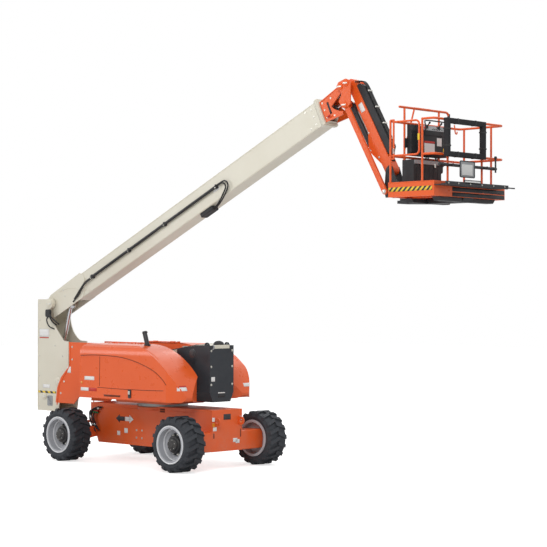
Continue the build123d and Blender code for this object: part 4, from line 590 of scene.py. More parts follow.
def dress_wheel(name, x, side, body):
    """Dish, rim rings painted lighter as a painted highlight, black hub, nuts, valve and sidewall ribs of
    one wheel.
    """
    centre = np.array([x, 0.0, AXLE_Z])
    outward = np.array([0.0, side, 0.0])
    dish = [(0.286, 1.085), (0.286, 1.100), (0.215, 1.055), (0.200, 1.075), (0.196, 1.060), (0.212, 1.038)]
    piece("wheel_dish_" + name, Shape().ring(dish, centre, outward), "silver", body)
    # the three rim rings are painted lighter than the dish: a painted highlight on the rim edges
    rings = Shape()
    for profile in (
        [(0.337, 1.226), (0.337, 1.246), (0.328, 1.252), (0.316, 1.246), (0.312, 1.226)],
        [(0.288, 1.105), (0.288, 1.128), (0.279, 1.134), (0.268, 1.126), (0.268, 1.105)],
        [(0.300, 1.165), (0.302, 1.178), (0.292, 1.182), (0.288, 1.165)],
    ):
        rings.ring(profile, centre, outward)
    piece("wheel_rings_" + name, rings, "rim_highlight", body)
    hub = [(AXIS, 1.10), (0.150, 1.10), (0.150, 1.150), (0.138, 1.162), (0.120, 1.165), (0.116, 1.190),
           (0.102, 1.205), (0.060, 1.212), (0.052, 1.224), (AXIS, 1.226)]
    turning("wheel_hub_" + name, hub, centre, outward, 36, "black", body)
    nuts = Shape()
    for spot in wheel_spots(9, 0.176, 1.066, centre, outward):
        nuts.bolt(spot, outward, 0.015, 0.024)
    for spot in wheel_spots(6, 0.088, 1.200, centre, outward, start=0.3):
        nuts.bolt(spot, outward, 0.008, 0.007)
    piece("wheel_nuts_" + name, nuts, "zinc", body)
    valve = centre + np.array([0.262, 0.0, 0.05]) + 1.10 * outward
    stem = Shape().tube([valve, valve + 0.02 * outward, valve + 0.045 * outward + (0.012, 0, 0)], 0.005, 8)
    piece("wheel_valve_" + name, stem, "hose", body)
    ribs = Shape()
    for radius, height in ((0.357, 1.240), (0.372, 1.236), (0.418, 1.230)):
        ribs.ring([(radius, height), (radius + 0.004, height + 0.007), (radius + 0.010, height + 0.007),
                   (radius + 0.014, height)], centre, outward, 72)
    piece("tyre_ribs_" + name, ribs, "rubber", body)


for wheel_name, wheel_x, wheel_side, wheel_body in (
    ("drive_left", AXLE_X, 1, "wheel_dl"), ("drive_right", AXLE_X, -1, "wheel_dr"),
    ("steer_left", -AXLE_X, 1, "wheel_sl"), ("steer_right", -AXLE_X, -1, "wheel_sr"),
):
    dress_wheel(wheel_name, wheel_x, wheel_side, wheel_body)

# ---------------------------------------------------------------- chassis

ARROW_LOW, ARROW_MID, ARROW_HIGH = 0.735, 0.793, 0.851
FRONT_X = 1.692         # front face of the chassis
REFLECTOR_Y = 0.346
for flank, side, _ in FLANKS:
    away = (0, -side, 0)
    # double-headed travel arrow: black half, white half
    for half, tip, heart, colour in (("rear", -0.878, -0.632, "plastic"),
                                     ("front", -0.386, -0.622, "white")):
        reach = 1 if tip > heart else -1
        neck, barb = tip - reach * 0.10, tip - reach * 0.11
        low, high = ARROW_LOW + 0.018, ARROW_HIGH - 0.018
        shaft = [(heart, side, low), (neck, side, low), (neck, side, high), (heart, side, high)]
        film("travel_arrow_shaft_" + half + "_" + flank, "chassis_frame", shaft, away, colour, "chassis")
        point = [(barb, side, ARROW_LOW - 0.020), (tip, side, ARROW_MID - 0.001),
                 (tip, side, ARROW_MID + 0.001), (barb, side, ARROW_HIGH + 0.020)]
        film("travel_arrow_point_" + half + "_" + flank, "chassis_frame", point, away, colour, "chassis")
    # the step recess film is painted shade where the recess is
    for label, x, z, colour in (
        ("tie_plate", (-0.640, -0.545), (0.530, 0.622), "white"),
        ("tyre_plate", (-0.840, -0.755), (0.480, 0.560), "white"),
        ("step_recess_shade", (0.336, 0.470), (0.963, 1.030), "joint_shade"),
        ("rear_plate", (0.95, 1.10), (0.56, 0.64), "white"),
    ):
        side_film("chassis_" + label + "_" + flank, "chassis_frame", x, z, colour, "chassis", side)
    for label, start_x, z in (("top", -1.40, 0.995), ("low", -1.25, 0.365)):
        weld = [(x, side, z) for x in (start_x, 0.0, 1.25)]
        bead("chassis_weld_" + label + "_" + flank, "chassis_frame", weld, away, 0.0045, "orange", "chassis")
    spots = [(x, side, z) for x in (-0.30, -0.15, 0.62, 0.80) for z in (0.46, 0.60)]
    bolts("chassis_bolts_" + flank, landing("chassis_frame", spots, away), (0, side, 0), 0.013, 0.010,
          "chassis")

# the two dark notch strips are painted shade at the corner notches of the front face
for label, y, z, colour in (
    ("plate_near", (-0.352, -0.262), (0.690, 0.760), "white"),
    ("notch_shade_near", (-0.345, -0.318), (0.560, 0.650), "joint_shade"),
    ("notch_shade_far", (0.330, 0.352), (0.560, 0.700), "joint_shade"),
    ("plate_far", (0.15, 0.26), (0.47, 0.54), "white"),
    ("bolt_cover", (-0.09, 0.09), (0.88, 0.98), "black"),
):
    front_film("chassis_front_" + label, "chassis_frame", y, z, colour, "chassis", start=3.0)
for flank, side in (("near", -1), ("far", 1)):
    place = np.array([FRONT_X, side * REFLECTOR_Y, 0.0])
    plate("reflector_white_" + flank, FRONT, place + (0, 0, 0.895), (0.060, 0.070), 0.010, "white",
          "chassis")
    plate("reflector_amber_" + flank, FRONT, place + (0, 0, 0.800), (0.060, 0.074), 0.014, "amber",
          "chassis", radius=0.012)

# drive hoses, clamped from the centre of the frame down to each end
for number, (y, drop) in enumerate(((-0.40, 0.0), (-0.415, 0.03), (-0.43, -0.02), (-0.405, 0.06))):
    x = -1.30 - 0.035 * number
    route = [(x + 0.05, y, 0.985), (x - 0.10, y - 0.02, 0.93), (x - 0.17, y - 0.03, 0.80 + drop),
             (x - 0.12, y - 0.02, 0.66), (x - 0.02, y - 0.01, 0.54 + drop)]
    lines("drive_hose_%d" % number, [route], 0.013, "hose", "chassis")
for number, colour in enumerate(("red", "green")):
    drop = 0.03 * number
    route = [(-1.36, -0.40, 0.90 - drop), (-1.45, -0.43, 0.915 - drop), (-1.56, -0.42, 0.90 - drop)]
    lines("hose_sleeve_" + colour, [route], 0.016, colour, "chassis", steps=6)
plate("drive_hose_clamps", NEAR, [(x, -0.384, 0.955) for x in (-1.33, -1.42)], (0.05, 0.032), 0.055, "zinc",
      "chassis", radius=0.008)

# hub carrier bolts on both ends of the drive axle
for flank, side, _ in FLANKS:
    centre = np.array([AXLE_X, side * 0.880, AXLE_Z])
    bolts("axle_end_bolts_" + flank, wheel_spots(10, 0.118, 0.0, centre, np.zeros(3)), (0, side, 0), 0.010,
          0.010, "chassis")
front_film("axle_plate_far", "chassis_frame", (0.215, 0.315), (0.447, 0.515), "white", "chassis", start=3.0)

# ---------------------------------------------------------------- hoods

HOOD_SHORT = 0.300


def hood_x(x, flank):
    """The left hood repeats the right one's lines, drawn up towards its shorter end."""
    return x if flank == "right" else x - HOOD_SHORT * max(0.0, (x - 0.2) / 1.4)


DOOR_LINE = [(-0.985, 1.985), (-0.70, 1.999), (-0.436, 2.002), (0.049, 1.985), (0.38, 1.940), (0.671, 1.872),
             (0.987, 1.765), (1.20, 1.640), (1.330, 1.522)]
DOOR_END = [(-0.45, 1.99), (-0.452, 1.72), (-0.455, 1.44)]
LOWER_CREASE = [(-0.51, 1.425), (0.10, 1.418), (0.70, 1.420), (1.254, 1.430)]
HEM = [(-0.98, 1.236), (0.0, 1.236), (0.9, 1.236), (1.20, 1.240)]
ABOVE = 2.60        # height from which a line down meets a hood's top


def lowered(points, drop):
    return [(x, z - drop) for x, z in points]


for flank, side, face in FLANKS:
    body = "hood_" + flank[0]
    node = "hood_" + flank
    away = (0, -side, 0)
    start = side * OUTSIDE
    # the door gap is a real gap drawn as a dark line of painted shade; the crease shade line is painted
    # shade under the lower crease
    for label, points, radius, colour, lift in (
        ("_door_gap", DOOR_LINE, 0.0062, "joint_shade", 0.0),
        ("_door_lip", lowered(DOOR_LINE, 0.020), 0.0085, "shell", -0.003),
        ("_door_end", DOOR_END, 0.0055, "joint_shade", 0.0),
        ("_lower_crease", LOWER_CREASE, 0.0075, "shell", -0.002),
        ("_crease_shade", lowered(LOWER_CREASE, 0.012), 0.0045, "joint_shade", 0.0),
        ("_hem", HEM, 0.010, "shell", -0.002),
    ):
        route = [(hood_x(x, flank), start, z) for x, z in points]
        bead(node + label, node, route, away, radius, colour, body, lift=lift)
    # the grab recess film is painted shade where the recess is
    recess = (hood_x(-0.329, flank), hood_x(0.116, flank))
    side_film(node + "_grab_recess", node, recess, (1.258, 1.290), "joint_shade", body, side)
    side_film(node + "_grab_edge", node, (recess[0] - 0.02, recess[1] + 0.02), (1.292, 1.302), "shell",
              body, side, lift=0.004)
    crest = [(hood_x(x, flank), side * 1.085, ABOVE) for x in (-0.95, -0.116, 0.320, 0.721, 1.050)]
    bead(node + "_shoulder_crest", node, crest, (0, 0, -1), 0.011, "shell", body, lift=-0.005)
    # latch strap over the lower edge
    strap = landing(node, [(hood_x(0.375, flank), start, 1.33)], away)[0]
    plate(node + "_latch", face, strap, (0.075, 0.150), 0.016, "plastic", body, radius=0.012)
    plate(node + "_latch_pull", face, strap + (0, side * 0.016, 0.020), (0.046, 0.062), 0.012, "zinc", body,
          radius=0.010)
    spots = [landing(node, [(x, side * 0.540, ABOVE)], (0, 0, -1))[0]
             for x in (-0.90, -0.84, -0.62, -0.40, -0.20, -0.12)]
    bolts(node + "_hinge_bolts", spots, (0, 0, 1), 0.008, 0.006, body)
    for label, x, z, colour in (
        ("_plate_upper", (-0.876, -0.601), (1.539, 1.607), "white"),
        ("_plate_lower", (-0.980, -0.762), (1.339, 1.400), "white"),
        ("_plate_lower_red", (-0.758, -0.536), (1.339, 1.400), "red"),
    ):
        side_film(node + label, node, (hood_x(x[0], flank), hood_x(x[1], flank)), z, colour, body, side)
    lamp = landing(node, [(-0.955, start, 1.49)], away)[0]
    lens_profile = [(AXIS, -0.002), (0.026, -0.002), (0.026, 0.006), (0.020, 0.013), (AXIS, 0.016)]
    turning(node + "_marker_lamp", lens_profile, lamp, (0, side, 0), 20, "amber", body)

front_film("hood_right_nose_plate", "hood_right", (-1.060, -0.860), (1.420, 1.485), "white", "hood_r",
           start=3.0)
front_film("hood_right_nose_stripe", "hood_right", (-1.060, -0.860), (1.487, 1.511), "red", "hood_r",
           start=3.0)
front_film("hood_left_nose_plate", "hood_left", (0.860, 1.040), (1.420, 1.485), "white", "hood_l", start=3.0)

stack_low, stack_high = node_box("exhaust_stack")
lean = unit((-0.33, 0.0, 1.0))
stack_mouth = np.array([stack_low[0] + 0.047, (stack_low[1] + stack_high[1]) / 2, stack_high[2] - 0.012])
rain_rim = [(0.043, -0.020), (0.050, -0.018), (0.050, -0.004), (0.046, 0.0), (0.039, 0.0), (0.039, -0.020)]
piece("exhaust_rim", Shape().ring(rain_rim, stack_mouth - 0.012 * lean, lean, 32), "black", "hood_r")

# ---------------------------------------------------------------- turntable

bolts("counterweight_bolts", [(1.550, y, z) for y in (-0.262, 0.262) for z in (2.108, 1.823, 1.503)],
      (1, 0, 0), 0.015, 0.012, "turntable")
# the recess is a black film of painted shade; the white strip along its top is a painted highlight on the
# recess edge
for label, y, z, colour in (
    ("recess", (-0.092, 0.084), (1.274, 1.345), "plastic"),
    ("recess_highlight", (-0.092, 0.084), (1.345, 1.363), "white"),
    ("plate", (-0.262, -0.170), (1.560, 1.640), "white"),
):
    front_film("counterweight_" + label, "counterweight", y, z, colour, "turntable", start=3.0)
plate("tower_foot_cover", FRONT, (1.500, 0.003, 2.165), (0.400, 0.088), 0.046, "cream", "turntable",
      radius=0.012)
dome = [(AXIS, 0.0), (0.094, 0.0), (0.098, 0.012), (0.090, 0.040), (0.066, 0.062), (0.030, 0.074),
        (AXIS, 0.077)]
turning("beacon_dome", dome, (1.42, 0.052, 2.205), (0, 0, 1), 28, "plastic", "turntable")
hook = [(1.556, -0.235, 2.130), (1.585, -0.235, 2.150), (1.592, -0.235, 2.195), (1.560, -0.235, 2.215)]
lines("weight_hook", [hook], 0.011, "grey", "turntable", steps=6, sides=8)

TOWER_FOOT = np.array([1.280, 0.0, 2.060])
TAIL_OUTSIDE = 1.4      # the same distance for the tail
TAIL_FLANGE = ((-2.128, 2.16), (-2.124, 1.78), (-2.28, 1.565), (-2.452, 1.335), (-2.512, 0.975))
TAIL_BOLTS = ((-2.06, 2.10), (-2.06, 1.86), (-2.30, 1.43), (-2.40, 1.20), (-1.75, 1.30), (-1.60, 1.30))
for flank, side, _ in FLANKS:
    node = "turntable_frame"
    away = (0, -side, 0)
    flange = [(x, side * TAIL_OUTSIDE, z) for x, z in TAIL_FLANGE]
    bead("tail_flange_" + flank, node, flange, away, 0.011, "orange", "turntable", steps=5)
    spots = landing(node, [(x, side * TAIL_OUTSIDE, z) for x, z in TAIL_BOLTS], away)
    bolts("tail_plate_bolts_" + flank, spots, (0, side, 0), 0.014, 0.011, "turntable")
    side_film("tail_plate_label_" + flank, node, (-2.20, -2.10), (1.60, 1.72), "white", "turntable", side)
    cap = [(AXIS, 0.0), (0.080, 0.0), (0.080, 0.010), (0.070, 0.014), (0.048, 0.016), (0.044, 0.024),
           (AXIS, 0.026)]
    turning("tower_pin_cap_" + flank, cap, TOWER_FOOT + (0.0, side * 0.462, 0.0), (0, side, 0), 32, "black",
            "turntable")

# service pieces seen under an open hood: engine ribs and rocker cover, filler caps
block_low, block_high = node_box("engine_block")
block_mid, block_size = (block_low + block_high) / 2, block_high - block_low
block_face, block_y = (NEAR, block_low[1]) if block_high[1] < 0 else (FAR, block_high[1])
spots = [(x, block_y, block_mid[2]) for x in np.linspace(block_low[0] + 0.06, block_high[0] - 0.06, 12)]
plate("engine_side_ribs", block_face, spots, (0.014, 0.8 * block_size[2]), 0.016, "alloy", "turntable",
      radius=0.004)
plate("engine_rocker_cover", TOP, (block_mid[0], block_mid[1], block_high[2]), (0.6 * block_size[0], 0.16),
      0.030, "black", "turntable", radius=0.03, bevel=0.010)
tank_low, tank_high = node_box("fluid_tanks")
spots = [(tank_low[0] + share * (tank_high[0] - tank_low[0]), (tank_low[1] + tank_high[1]) / 2, tank_high[2])
         for share in (0.25, 0.7)]
filler = [(AXIS, 0.0), (0.045, 0.0), (0.045, 0.018), (0.038, 0.024), (AXIS, 0.026)]
turning("tank_filler_caps", filler, spots, (0, 0, 1), 24, "yellow", "turntable")

# ---------------------------------------------------------------- tower boom

UPRIGHT_PIN = np.array([-2.750, 0.0, 1.400])
TOWER_LENGTH = float(np.linalg.norm(UPRIGHT_PIN - TOWER_FOOT))
TOWER_MOUTH = TOWER_LENGTH - 0.470
TOWER_HALF = 0.145      # half the tower boom's width
tower_along = unit(UPRIGHT_PIN - TOWER_FOOT)
tower_down = np.cross(tower_along, (0.0, -1.0, 0.0))
if tower_down[2] > 0:
    tower_down = -tower_down


def tower(s, off, y):
    """A point along the tower boom from its foot pin, off its middle line, at y."""
    return TOWER_FOOT + s * tower_along - off * tower_down + (0.0, y, 0.0)


for flank, side, _ in FLANKS:
    welds = [[tower(s, off, side * (TOWER_HALF + 0.001)) for s in (0.55, TOWER_MOUTH - 0.12)]
             for off in (-0.158, 0.158)]
    lines("tower_welds_" + flank, welds, 0.005, "cream", "tower", steps=0, sides=8)
    spots = [tower(TOWER_MOUTH - 0.045, off, side * TOWER_HALF) for off in (-0.11, 0.0, 0.11)]
    bolts("tower_pad_bolts_" + flank, spots, (0, side, 0), 0.012, 0.010, "tower")
    band = [[tower(TOWER_MOUTH - 0.055, off, y) for y in (-0.150, 0.150)] for off in (-0.176, 0.176)]
    lines("tower_mouth_band_" + flank, band, 0.010, "cream", "tower", steps=0, sides=8)
TOWER_HOSE = np.array([tower(0.30, 0.185, -0.05), tower(1.2, 0.186, -0.06), tower(2.2, 0.186, -0.05),
                       tower(3.2, 0.186, -0.06)])
for number in range(3):
    lines("tower_top_hose_%d" % number, [TOWER_HOSE + (0.0, 0.045 * number, 0.0)], 0.012, "hose", "tower",
          sides=8)
plate("tower_hose_straps", TOP, [tower(s, 0.192, -0.01) for s in (0.6, 1.5, 2.4, 3.1)], (0.040, 0.200),
      0.016, "zinc", "tower", radius=0.008)

# ---------------------------------------------------------------- upright

UPRIGHT_HALF = 0.240
UPRIGHT_BOLTS = ((-3.33, 2.93), (-3.33, 2.60), (-3.33, 1.90), (-3.33, 1.50), (-3.33, 0.90), (-2.80, 0.90),
                 (-2.62, 1.90), (-2.62, 1.62), (-2.86, 2.10))
UPRIGHT_CAP = ((AXIS, 0.0), (0.088, 0.0), (0.088, 0.012), (0.078, 0.018), (0.052, 0.020), (0.048, 0.030),
               (AXIS, 0.034))
for flank, side, face in FLANKS:
    away = (0, -side, 0)
    for label, x, z, colour in (
        ("hazard_", (-3.371, -2.815), (1.164, 1.206), "hazard_level"),
        ("plate_small_", (-3.224, -3.005), (1.266, 1.336), "white"),
        ("plate_round_", (-3.340, -3.040), (2.270, 2.425), "white"),
        ("plate_round_edge_", (-3.332, -3.048), (2.245, 2.263), "red"),
    ):
        side_film("upright_" + label + flank, "upright", x, z, colour, "riser", side)
    spots = landing("upright", [(x, side, z) for x, z in UPRIGHT_BOLTS], away)
    bolts("upright_bolts_" + flank, spots, (0, side, 0), 0.011, 0.008, "riser")
    rim = [(-3.375, side, z) for z in (2.98, 2.0, 0.86)]
    bead("upright_back_fold_" + flank, "upright", rim, away, 0.008, "cream", "riser", steps=4)
    for label, x, z, scale in (("boom", -3.040, 2.920, 1.0), ("tower", -2.750, 1.400, 1.0),
                               ("lift", -3.180, 1.100, 0.8)):
        profile = [(max(AXIS, radius * scale), height) for radius, height in UPRIGHT_CAP]
        turning("upright_pin_cap_" + label + "_" + flank, profile, (x, side * UPRIGHT_HALF, z),
                (0, side, 0), 32, "cream", "riser")
        keeper = Shape().slab(face, (x + 0.020, side * (UPRIGHT_HALF + 0.022), z), (0.130, 0.030), 0.010,
                              radius=0.008)
        keeper.bolt((x + 0.070, side * (UPRIGHT_HALF + 0.032), z), (0, side, 0), 0.008, 0.006)
        piece("upright_pin_keeper_" + label + "_" + flank, keeper, "zinc", "riser")
grip = [(-3.045, -0.244, 1.085), (-3.040, -0.275, 1.080), (-2.965, -0.278, 0.975), (-2.950, -0.244, 0.960)]
lines("upright_latch", [grip], 0.012, "grey", "riser")
plate("upright_latch_plate", NEAR, (-3.00, -0.2405, 1.02), (0.16, 0.20), 0.006, "grey", "riser", radius=0.02)
plate("upright_valve_cover", NEAR, (-3.045, -0.2405, 2.735), (0.14, 0.15), 0.045, "plastic", "riser",
      radius=0.03, bevel=0.010)
for number, points in enumerate((
    [(-2.985, -0.262, 2.690), (-2.930, -0.300, 2.640), (-2.860, -0.290, 2.560), (-2.815, -0.225, 2.500)],
    [(-2.990, -0.262, 2.720), (-2.905, -0.315, 2.680), (-2.820, -0.290, 2.600), (-2.760, -0.215, 2.520)],
    [(-3.040, -0.262, 2.672), (-3.030, -0.310, 2.600), (-2.960, -0.300, 2.480), (-2.870, -0.225, 2.420)],
)):
    lines("upright_hose_%d" % number, [points], 0.013, "hose", "riser")
bundle = [[(-2.66, y, 2.10), (-2.60 - 0.01 * number, y, 1.90), (-2.62, y, 1.70), (-2.70, y, 1.62)]
          for number, y in enumerate((-0.10, -0.05, 0.0, 0.05, 0.10))]
lines("upright_hose_bundle", bundle, 0.014, "hose", "riser")

# ---------------------------------------------------------------- main boom

BOOM_ROOT = np.array([-3.040, 0.0, 2.920])
BOOM_LEAN = math.radians(25.15)
BOOM_END = 7.800
BOOM_HALF = 0.146       # half the boom's width over its side welds
boom_along = np.array([math.cos(BOOM_LEAN), 0.0, math.sin(BOOM_LEAN)])
boom_up = np.array([-math.sin(BOOM_LEAN), 0.0, math.cos(BOOM_LEAN)])


def boom(s, off, y):
    """A point along the main boom from its pin, off the line through it, at y."""
    return BOOM_ROOT + s * boom_along + off * boom_up + (0.0, y, 0.0)


PAD_BOLTS = ((7.64, 0.09), (7.64, -0.05), (7.64, -0.19), (7.50, 0.11), (7.50, -0.21), (0.42, 0.10),
             (0.42, -0.02))
for flank, side, _ in FLANKS:
    away = (0, -side, 0)
    welds = [[boom(s, off, side * BOOM_HALF) for s in (0.62, BOOM_END - 0.16)] for off in (0.155, -0.257)]
    lines("boom_welds_" + flank, welds, 0.0055, "cream", "boom", steps=0, sides=8)
    spots = [landing("main_boom", [boom(s, off, side)], away)[0] for s, off in PAD_BOLTS]
    bolts("boom_pad_bolts_" + flank, spots, (0, side, 0), 0.012, 0.010, "boom")
    edge = [boom(s, off, side) for s, off in ((0.30, 0.13), (0.62, 0.05), (0.92, -0.12), (1.16, -0.25))]
    bead("boom_tail_plate_edge_" + flank, "main_boom", edge, away, 0.008, "cream", "boom", steps=6)
    corners = [boom(s, off, side) for s, off in ((4.95, -0.10), (5.12, -0.10), (5.12, -0.03), (4.95, -0.03))]
    film("boom_side_plate_" + flank, "main_boom", corners, away, "white", "boom")

# flared collar at the mouth, a lip round all four faces
lip = []
for s, grow in ((7.735, 0.004), (7.760, 0.024), (7.800, 0.034), (7.812, 0.030), (7.812, 0.012)):
    outline = rounded_outline(0.290 + 2 * grow, 0.438 + 2 * grow, 0.030, 5)
    lip.append([boom(s, -0.051 + off, y) for y, off in outline])
piece("boom_mouth_collar", Shape().grid(np.array(lip), wrap=True), "cream", "boom", thickness=0.006)

spots = [boom(s + 0.02, -0.045, -0.219) + off * boom_up
         for s in (1.30, 2.48, 3.57, 5.06) for off in (0.022, -0.022)]
bolts("hose_tube_clamp_bolts", spots, (0, -1, 0), 0.008, 0.006, "boom")
hose_ends = (
    ((1.32, -0.045, -0.187), (1.10, -0.055, -0.190), (0.86, -0.13, -0.178), (0.66, -0.20, -0.168)),
    ((1.32, -0.060, -0.185), (1.06, -0.085, -0.195), (0.84, -0.18, -0.182), (0.60, -0.235, -0.166)),
    ((5.09, -0.045, -0.187), (5.26, -0.060, -0.190), (5.30, -0.160, -0.190), (5.14, -0.262, -0.176),
     (4.92, -0.318, -0.120), (4.66, -0.326, -0.06)),
    ((5.09, -0.030, -0.189), (5.32, -0.050, -0.192), (5.36, -0.170, -0.190), (5.16, -0.285, -0.160),
     (4.90, -0.336, -0.10), (4.60, -0.334, -0.03)),
)
lines("boom_hose_ends", [[boom(*point) for point in points] for points in hose_ends], 0.013, "hose", "boom")
plate("boom_underside_guide", (boom_along, np.array([0.0, -1.0, 0.0])), boom(4.62, -0.272, -0.05),
      (0.34, 0.16), 0.075, "plastic", "boom", radius=0.02, bevel=0.008)

# ---------------------------------------------------------------- boom nose and head

HEAD_PIN = boom(8.415, 0.093, 0.0)
ARM_PIN = HEAD_PIN + (0.127, 0.0, 0.050)
ARM_END = ARM_PIN + (0.845, 0.0, -1.475)
LINK_PIN = ARM_PIN + (-0.030, 0.0, -0.360)
NOSE_BOLTS = ((7.90, 0.07), (7.90, -0.06), (7.90, -0.20), (8.10, 0.06), (8.06, -0.25))
HEAD_CAP = ((AXIS, 0.0), (0.058, 0.0), (0.058, 0.010), (0.050, 0.015), (0.030, 0.017), (0.028, 0.024),
            (AXIS, 0.026))
for flank, side, face in FLANKS:
    away = (0, -side, 0)
    # the nose slot is a dark film of painted shade where the slot opening is
    corners = [boom(s, off, side) for s, off in ((7.985, -0.190), (8.025, -0.190), (8.025, 0.030),
                                                 (7.985, 0.030))]
    film("nose_slot_shade_" + flank, "fly_nose", corners, away, "plastic", "boom_ext")
    edge = [boom(s, off, side) for s, off in ((7.870, 0.105), (8.10, 0.122), (8.33, 0.140))]
    bead("nose_top_edge_" + flank, "fly_nose", edge, away, 0.008, "orange", "boom_ext", steps=5)
    spots = [landing("fly_nose", [boom(s, off, side)], away)[0] for s, off in NOSE_BOLTS]
    bolts("nose_bolts_" + flank, spots, (0, side, 0), 0.012, 0.010, "boom_ext")
    for label, spot in (("level", HEAD_PIN), ("arm", ARM_PIN), ("link", LINK_PIN)):
        place = spot + (0.0, side * 0.205, 0.0)
        turning("head_pin_cap_" + label + "_" + flank, HEAD_CAP, place, (0, side, 0), 28, "orange", "head")
        plate("head_pin_keeper_" + label + "_" + flank, face, place + (0.0, side * 0.020, 0.0),
              (0.090, 0.024), 0.008, "zinc", "head", radius=0.006)
red_tee = [boom(s, -0.215, -0.170) for s in (7.93, 7.99)]
lines("nose_red_fitting", [red_tee], 0.016, "red", "boom_ext", steps=0, sides=12)
loops = []
for reach, y in ((0.00, -0.05), (0.03, 0.0), (0.06, 0.05)):
    start = boom(8.16, 0.085, y)
    loops.append([start, start + (0.06, 0, 0.10 + reach), start + (0.20, 0, 0.15 + reach),
                  start + (0.36, 0, 0.08 + reach), ARM_PIN + (0.095, y, 0.045)])
lines("head_hose_loops", loops, 0.012, "hose", "head")

# ---------------------------------------------------------------- jib

arm_run = unit(ARM_END - ARM_PIN)
arm_side = np.array([-arm_run[2], 0.0, arm_run[0]])
ARM_LENGTH = float(np.linalg.norm(ARM_END - ARM_PIN))
ARM_HALF = 0.0755       # half the arm's width over its side plates
ARM_BACK = (np.array([0.0, 1.0, 0.0]), -arm_run)      # face frame of the arm's upper side


def arm(s, off, y):
    """A point down the jib arm from its upper pin, off its middle line, at y."""
    return ARM_PIN + s * arm_run + off * arm_side + (0.0, y, 0.0)


for flank, side, _ in FLANKS:
    link_face = LINK_PIN + (0.0, side * 0.181, 0.0)
    edges = [[link_face + s * arm_run + off * arm_side for s in (0.06, ARM_LENGTH - 0.06)]
             for off in (-0.036, 0.036)]
    lines("link_edges_" + flank, edges, 0.005, "orange", "jib_bars", steps=0, sides=8)
    washer = [(AXIS, 0.0), (0.036, 0.0), (0.036, 0.008), (0.026, 0.012), (AXIS, 0.014)]
    turning("link_pin_washers_" + flank, washer, [link_face + s * arm_run for s in (0.0, ARM_LENGTH)],
            (0, side, 0), 24, "zinc", "jib_bars")
    spots = [arm(s, off, side * ARM_HALF) for s, off in ((1.200, -0.195), (0.93, -0.085), (1.40, -0.090))]
    bolts("jib_gusset_bolts_" + flank, spots, (0, side, 0), 0.013, 0.010, "jib")
    welds = [[arm(s, off, side * ARM_HALF) for s in (0.12, ARM_LENGTH - 0.12)] for off in (-0.074, 0.074)]
    lines("jib_arm_welds_" + flank, welds, 0.004, "orange", "jib", steps=0, sides=8)
    corners = [arm(s, off, side) for s, off in ((0.40, -0.045), (0.56, -0.045), (0.56, 0.045),
                                                (0.40, 0.045))]
    film("jib_plate_" + flank, "jib_arm", corners, (0, -side, 0), "white", "jib")
guard_ribs = Shape()
for s in np.arange(0.24, ARM_LENGTH - 0.34, 0.085):
    guard_ribs.slab(ARM_BACK, arm(s, 0.212, 0.0), (0.112, 0.016), 0.004, radius=0.003)
    guard_ribs.slab((arm_side, arm_run), arm(s, 0.145, -0.0585), (0.120, 0.020), 0.005, radius=0.004)
piece("jib_guard_ribs", guard_ribs, "plastic", "jib")
JIB_HOSE = ((0.02, 0.115), (0.14, 0.225), (0.50, 0.236), (0.98, 0.236), (1.30, 0.215), (1.48, 0.110),
            (1.58, 0.085))
lines("jib_hoses", [[arm(s, off, y) for s, off in JIB_HOSE] for y in (-0.028, 0.0, 0.028)], 0.011, "hose",
      "jib")
plate("jib_hose_clips", ARM_BACK, [arm(s, 0.234, 0.0) for s in (0.30, 0.62, 0.94, 1.24)], (0.100, 0.030),
      0.018, "zinc", "jib", radius=0.008)

# ---------------------------------------------------------------- hydraulic cylinders

LIFT_EYE = np.array([-2.664, 0.0, 2.884])
TOWER_EYE = TOWER_FOOT + 1.800 * tower_along + 0.240 * tower_down
for name, body, foot_pin, rod_eye, past_mouth, radius in (
    ("main", "lift_cyl_barrel", np.array([-3.180, 0.0, 1.100]), LIFT_EYE, 0.760, 0.078),
    ("tower", "tower_cyl_barrel", np.array([0.850, 0.0, 1.300]), TOWER_EYE, 0.170, 0.065),
    ("jib", "jib_cyl_barrel", LINK_PIN, arm(1.200, -0.195, 0.0), 0.100, 0.048),
    ("level", "level_cyl_barrel", boom(7.600, -0.090, 0.0), boom(8.290, -0.090, 0.0), 0.220, 0.042),
):
    along = unit(rod_eye - foot_pin)
    mouth = np.linalg.norm(rod_eye - foot_pin) - past_mouth
    bands = Shape()
    gland = [(radius + 0.0005, -0.050), (radius + 0.006, -0.048), (radius + 0.006, -0.004),
             (radius + 0.001, 0.0), (radius - 0.012, 0.0), (radius - 0.012, -0.050)]
    bands.ring(gland, foot_pin + mouth * along, along, 36)
    foot = [(radius + 0.0005, 0.0), (radius + 0.005, 0.003), (radius + 0.005, 0.030),
            (radius + 0.0005, 0.033), (radius - 0.006, 0.016)]
    bands.ring(foot, foot_pin + 0.14 * along, along, 36)
    piece(name + "_cylinder_bands", bands, "black", body)
    lift = np.cross(along, (0.0, 1.0, 0.0))
    off = -(radius + 0.012) * lift if name != "jib" else (radius + 0.010) * lift
    line = [foot_pin + 0.16 * along + off * 0.8, foot_pin + 0.20 * along + off,
            foot_pin + (mouth - 0.14) * along + off, foot_pin + (mouth - 0.08) * along + off * 0.8]
    lines(name + "_cylinder_pipe", [line], 0.007, "zinc", body, steps=6, sides=8)

# ---------------------------------------------------------------- platform

DECK_REAR = float(ARM_END[0]) + 0.290 + 0.370
DECK_FRONT = DECK_REAR + 0.910
FLOOR_Z = float(ARM_END[2]) - 0.455 + 0.020
RAIL_X = (DECK_REAR + 0.025, DECK_FRONT - 0.025)
RAIL_Y = 0.890
RAIL_RADIUS = 0.019
CONSOLE_X = RAIL_X[0] + 0.0175 + 0.215
HOOP_Y = (-0.545, 0.335)
body = "platform"

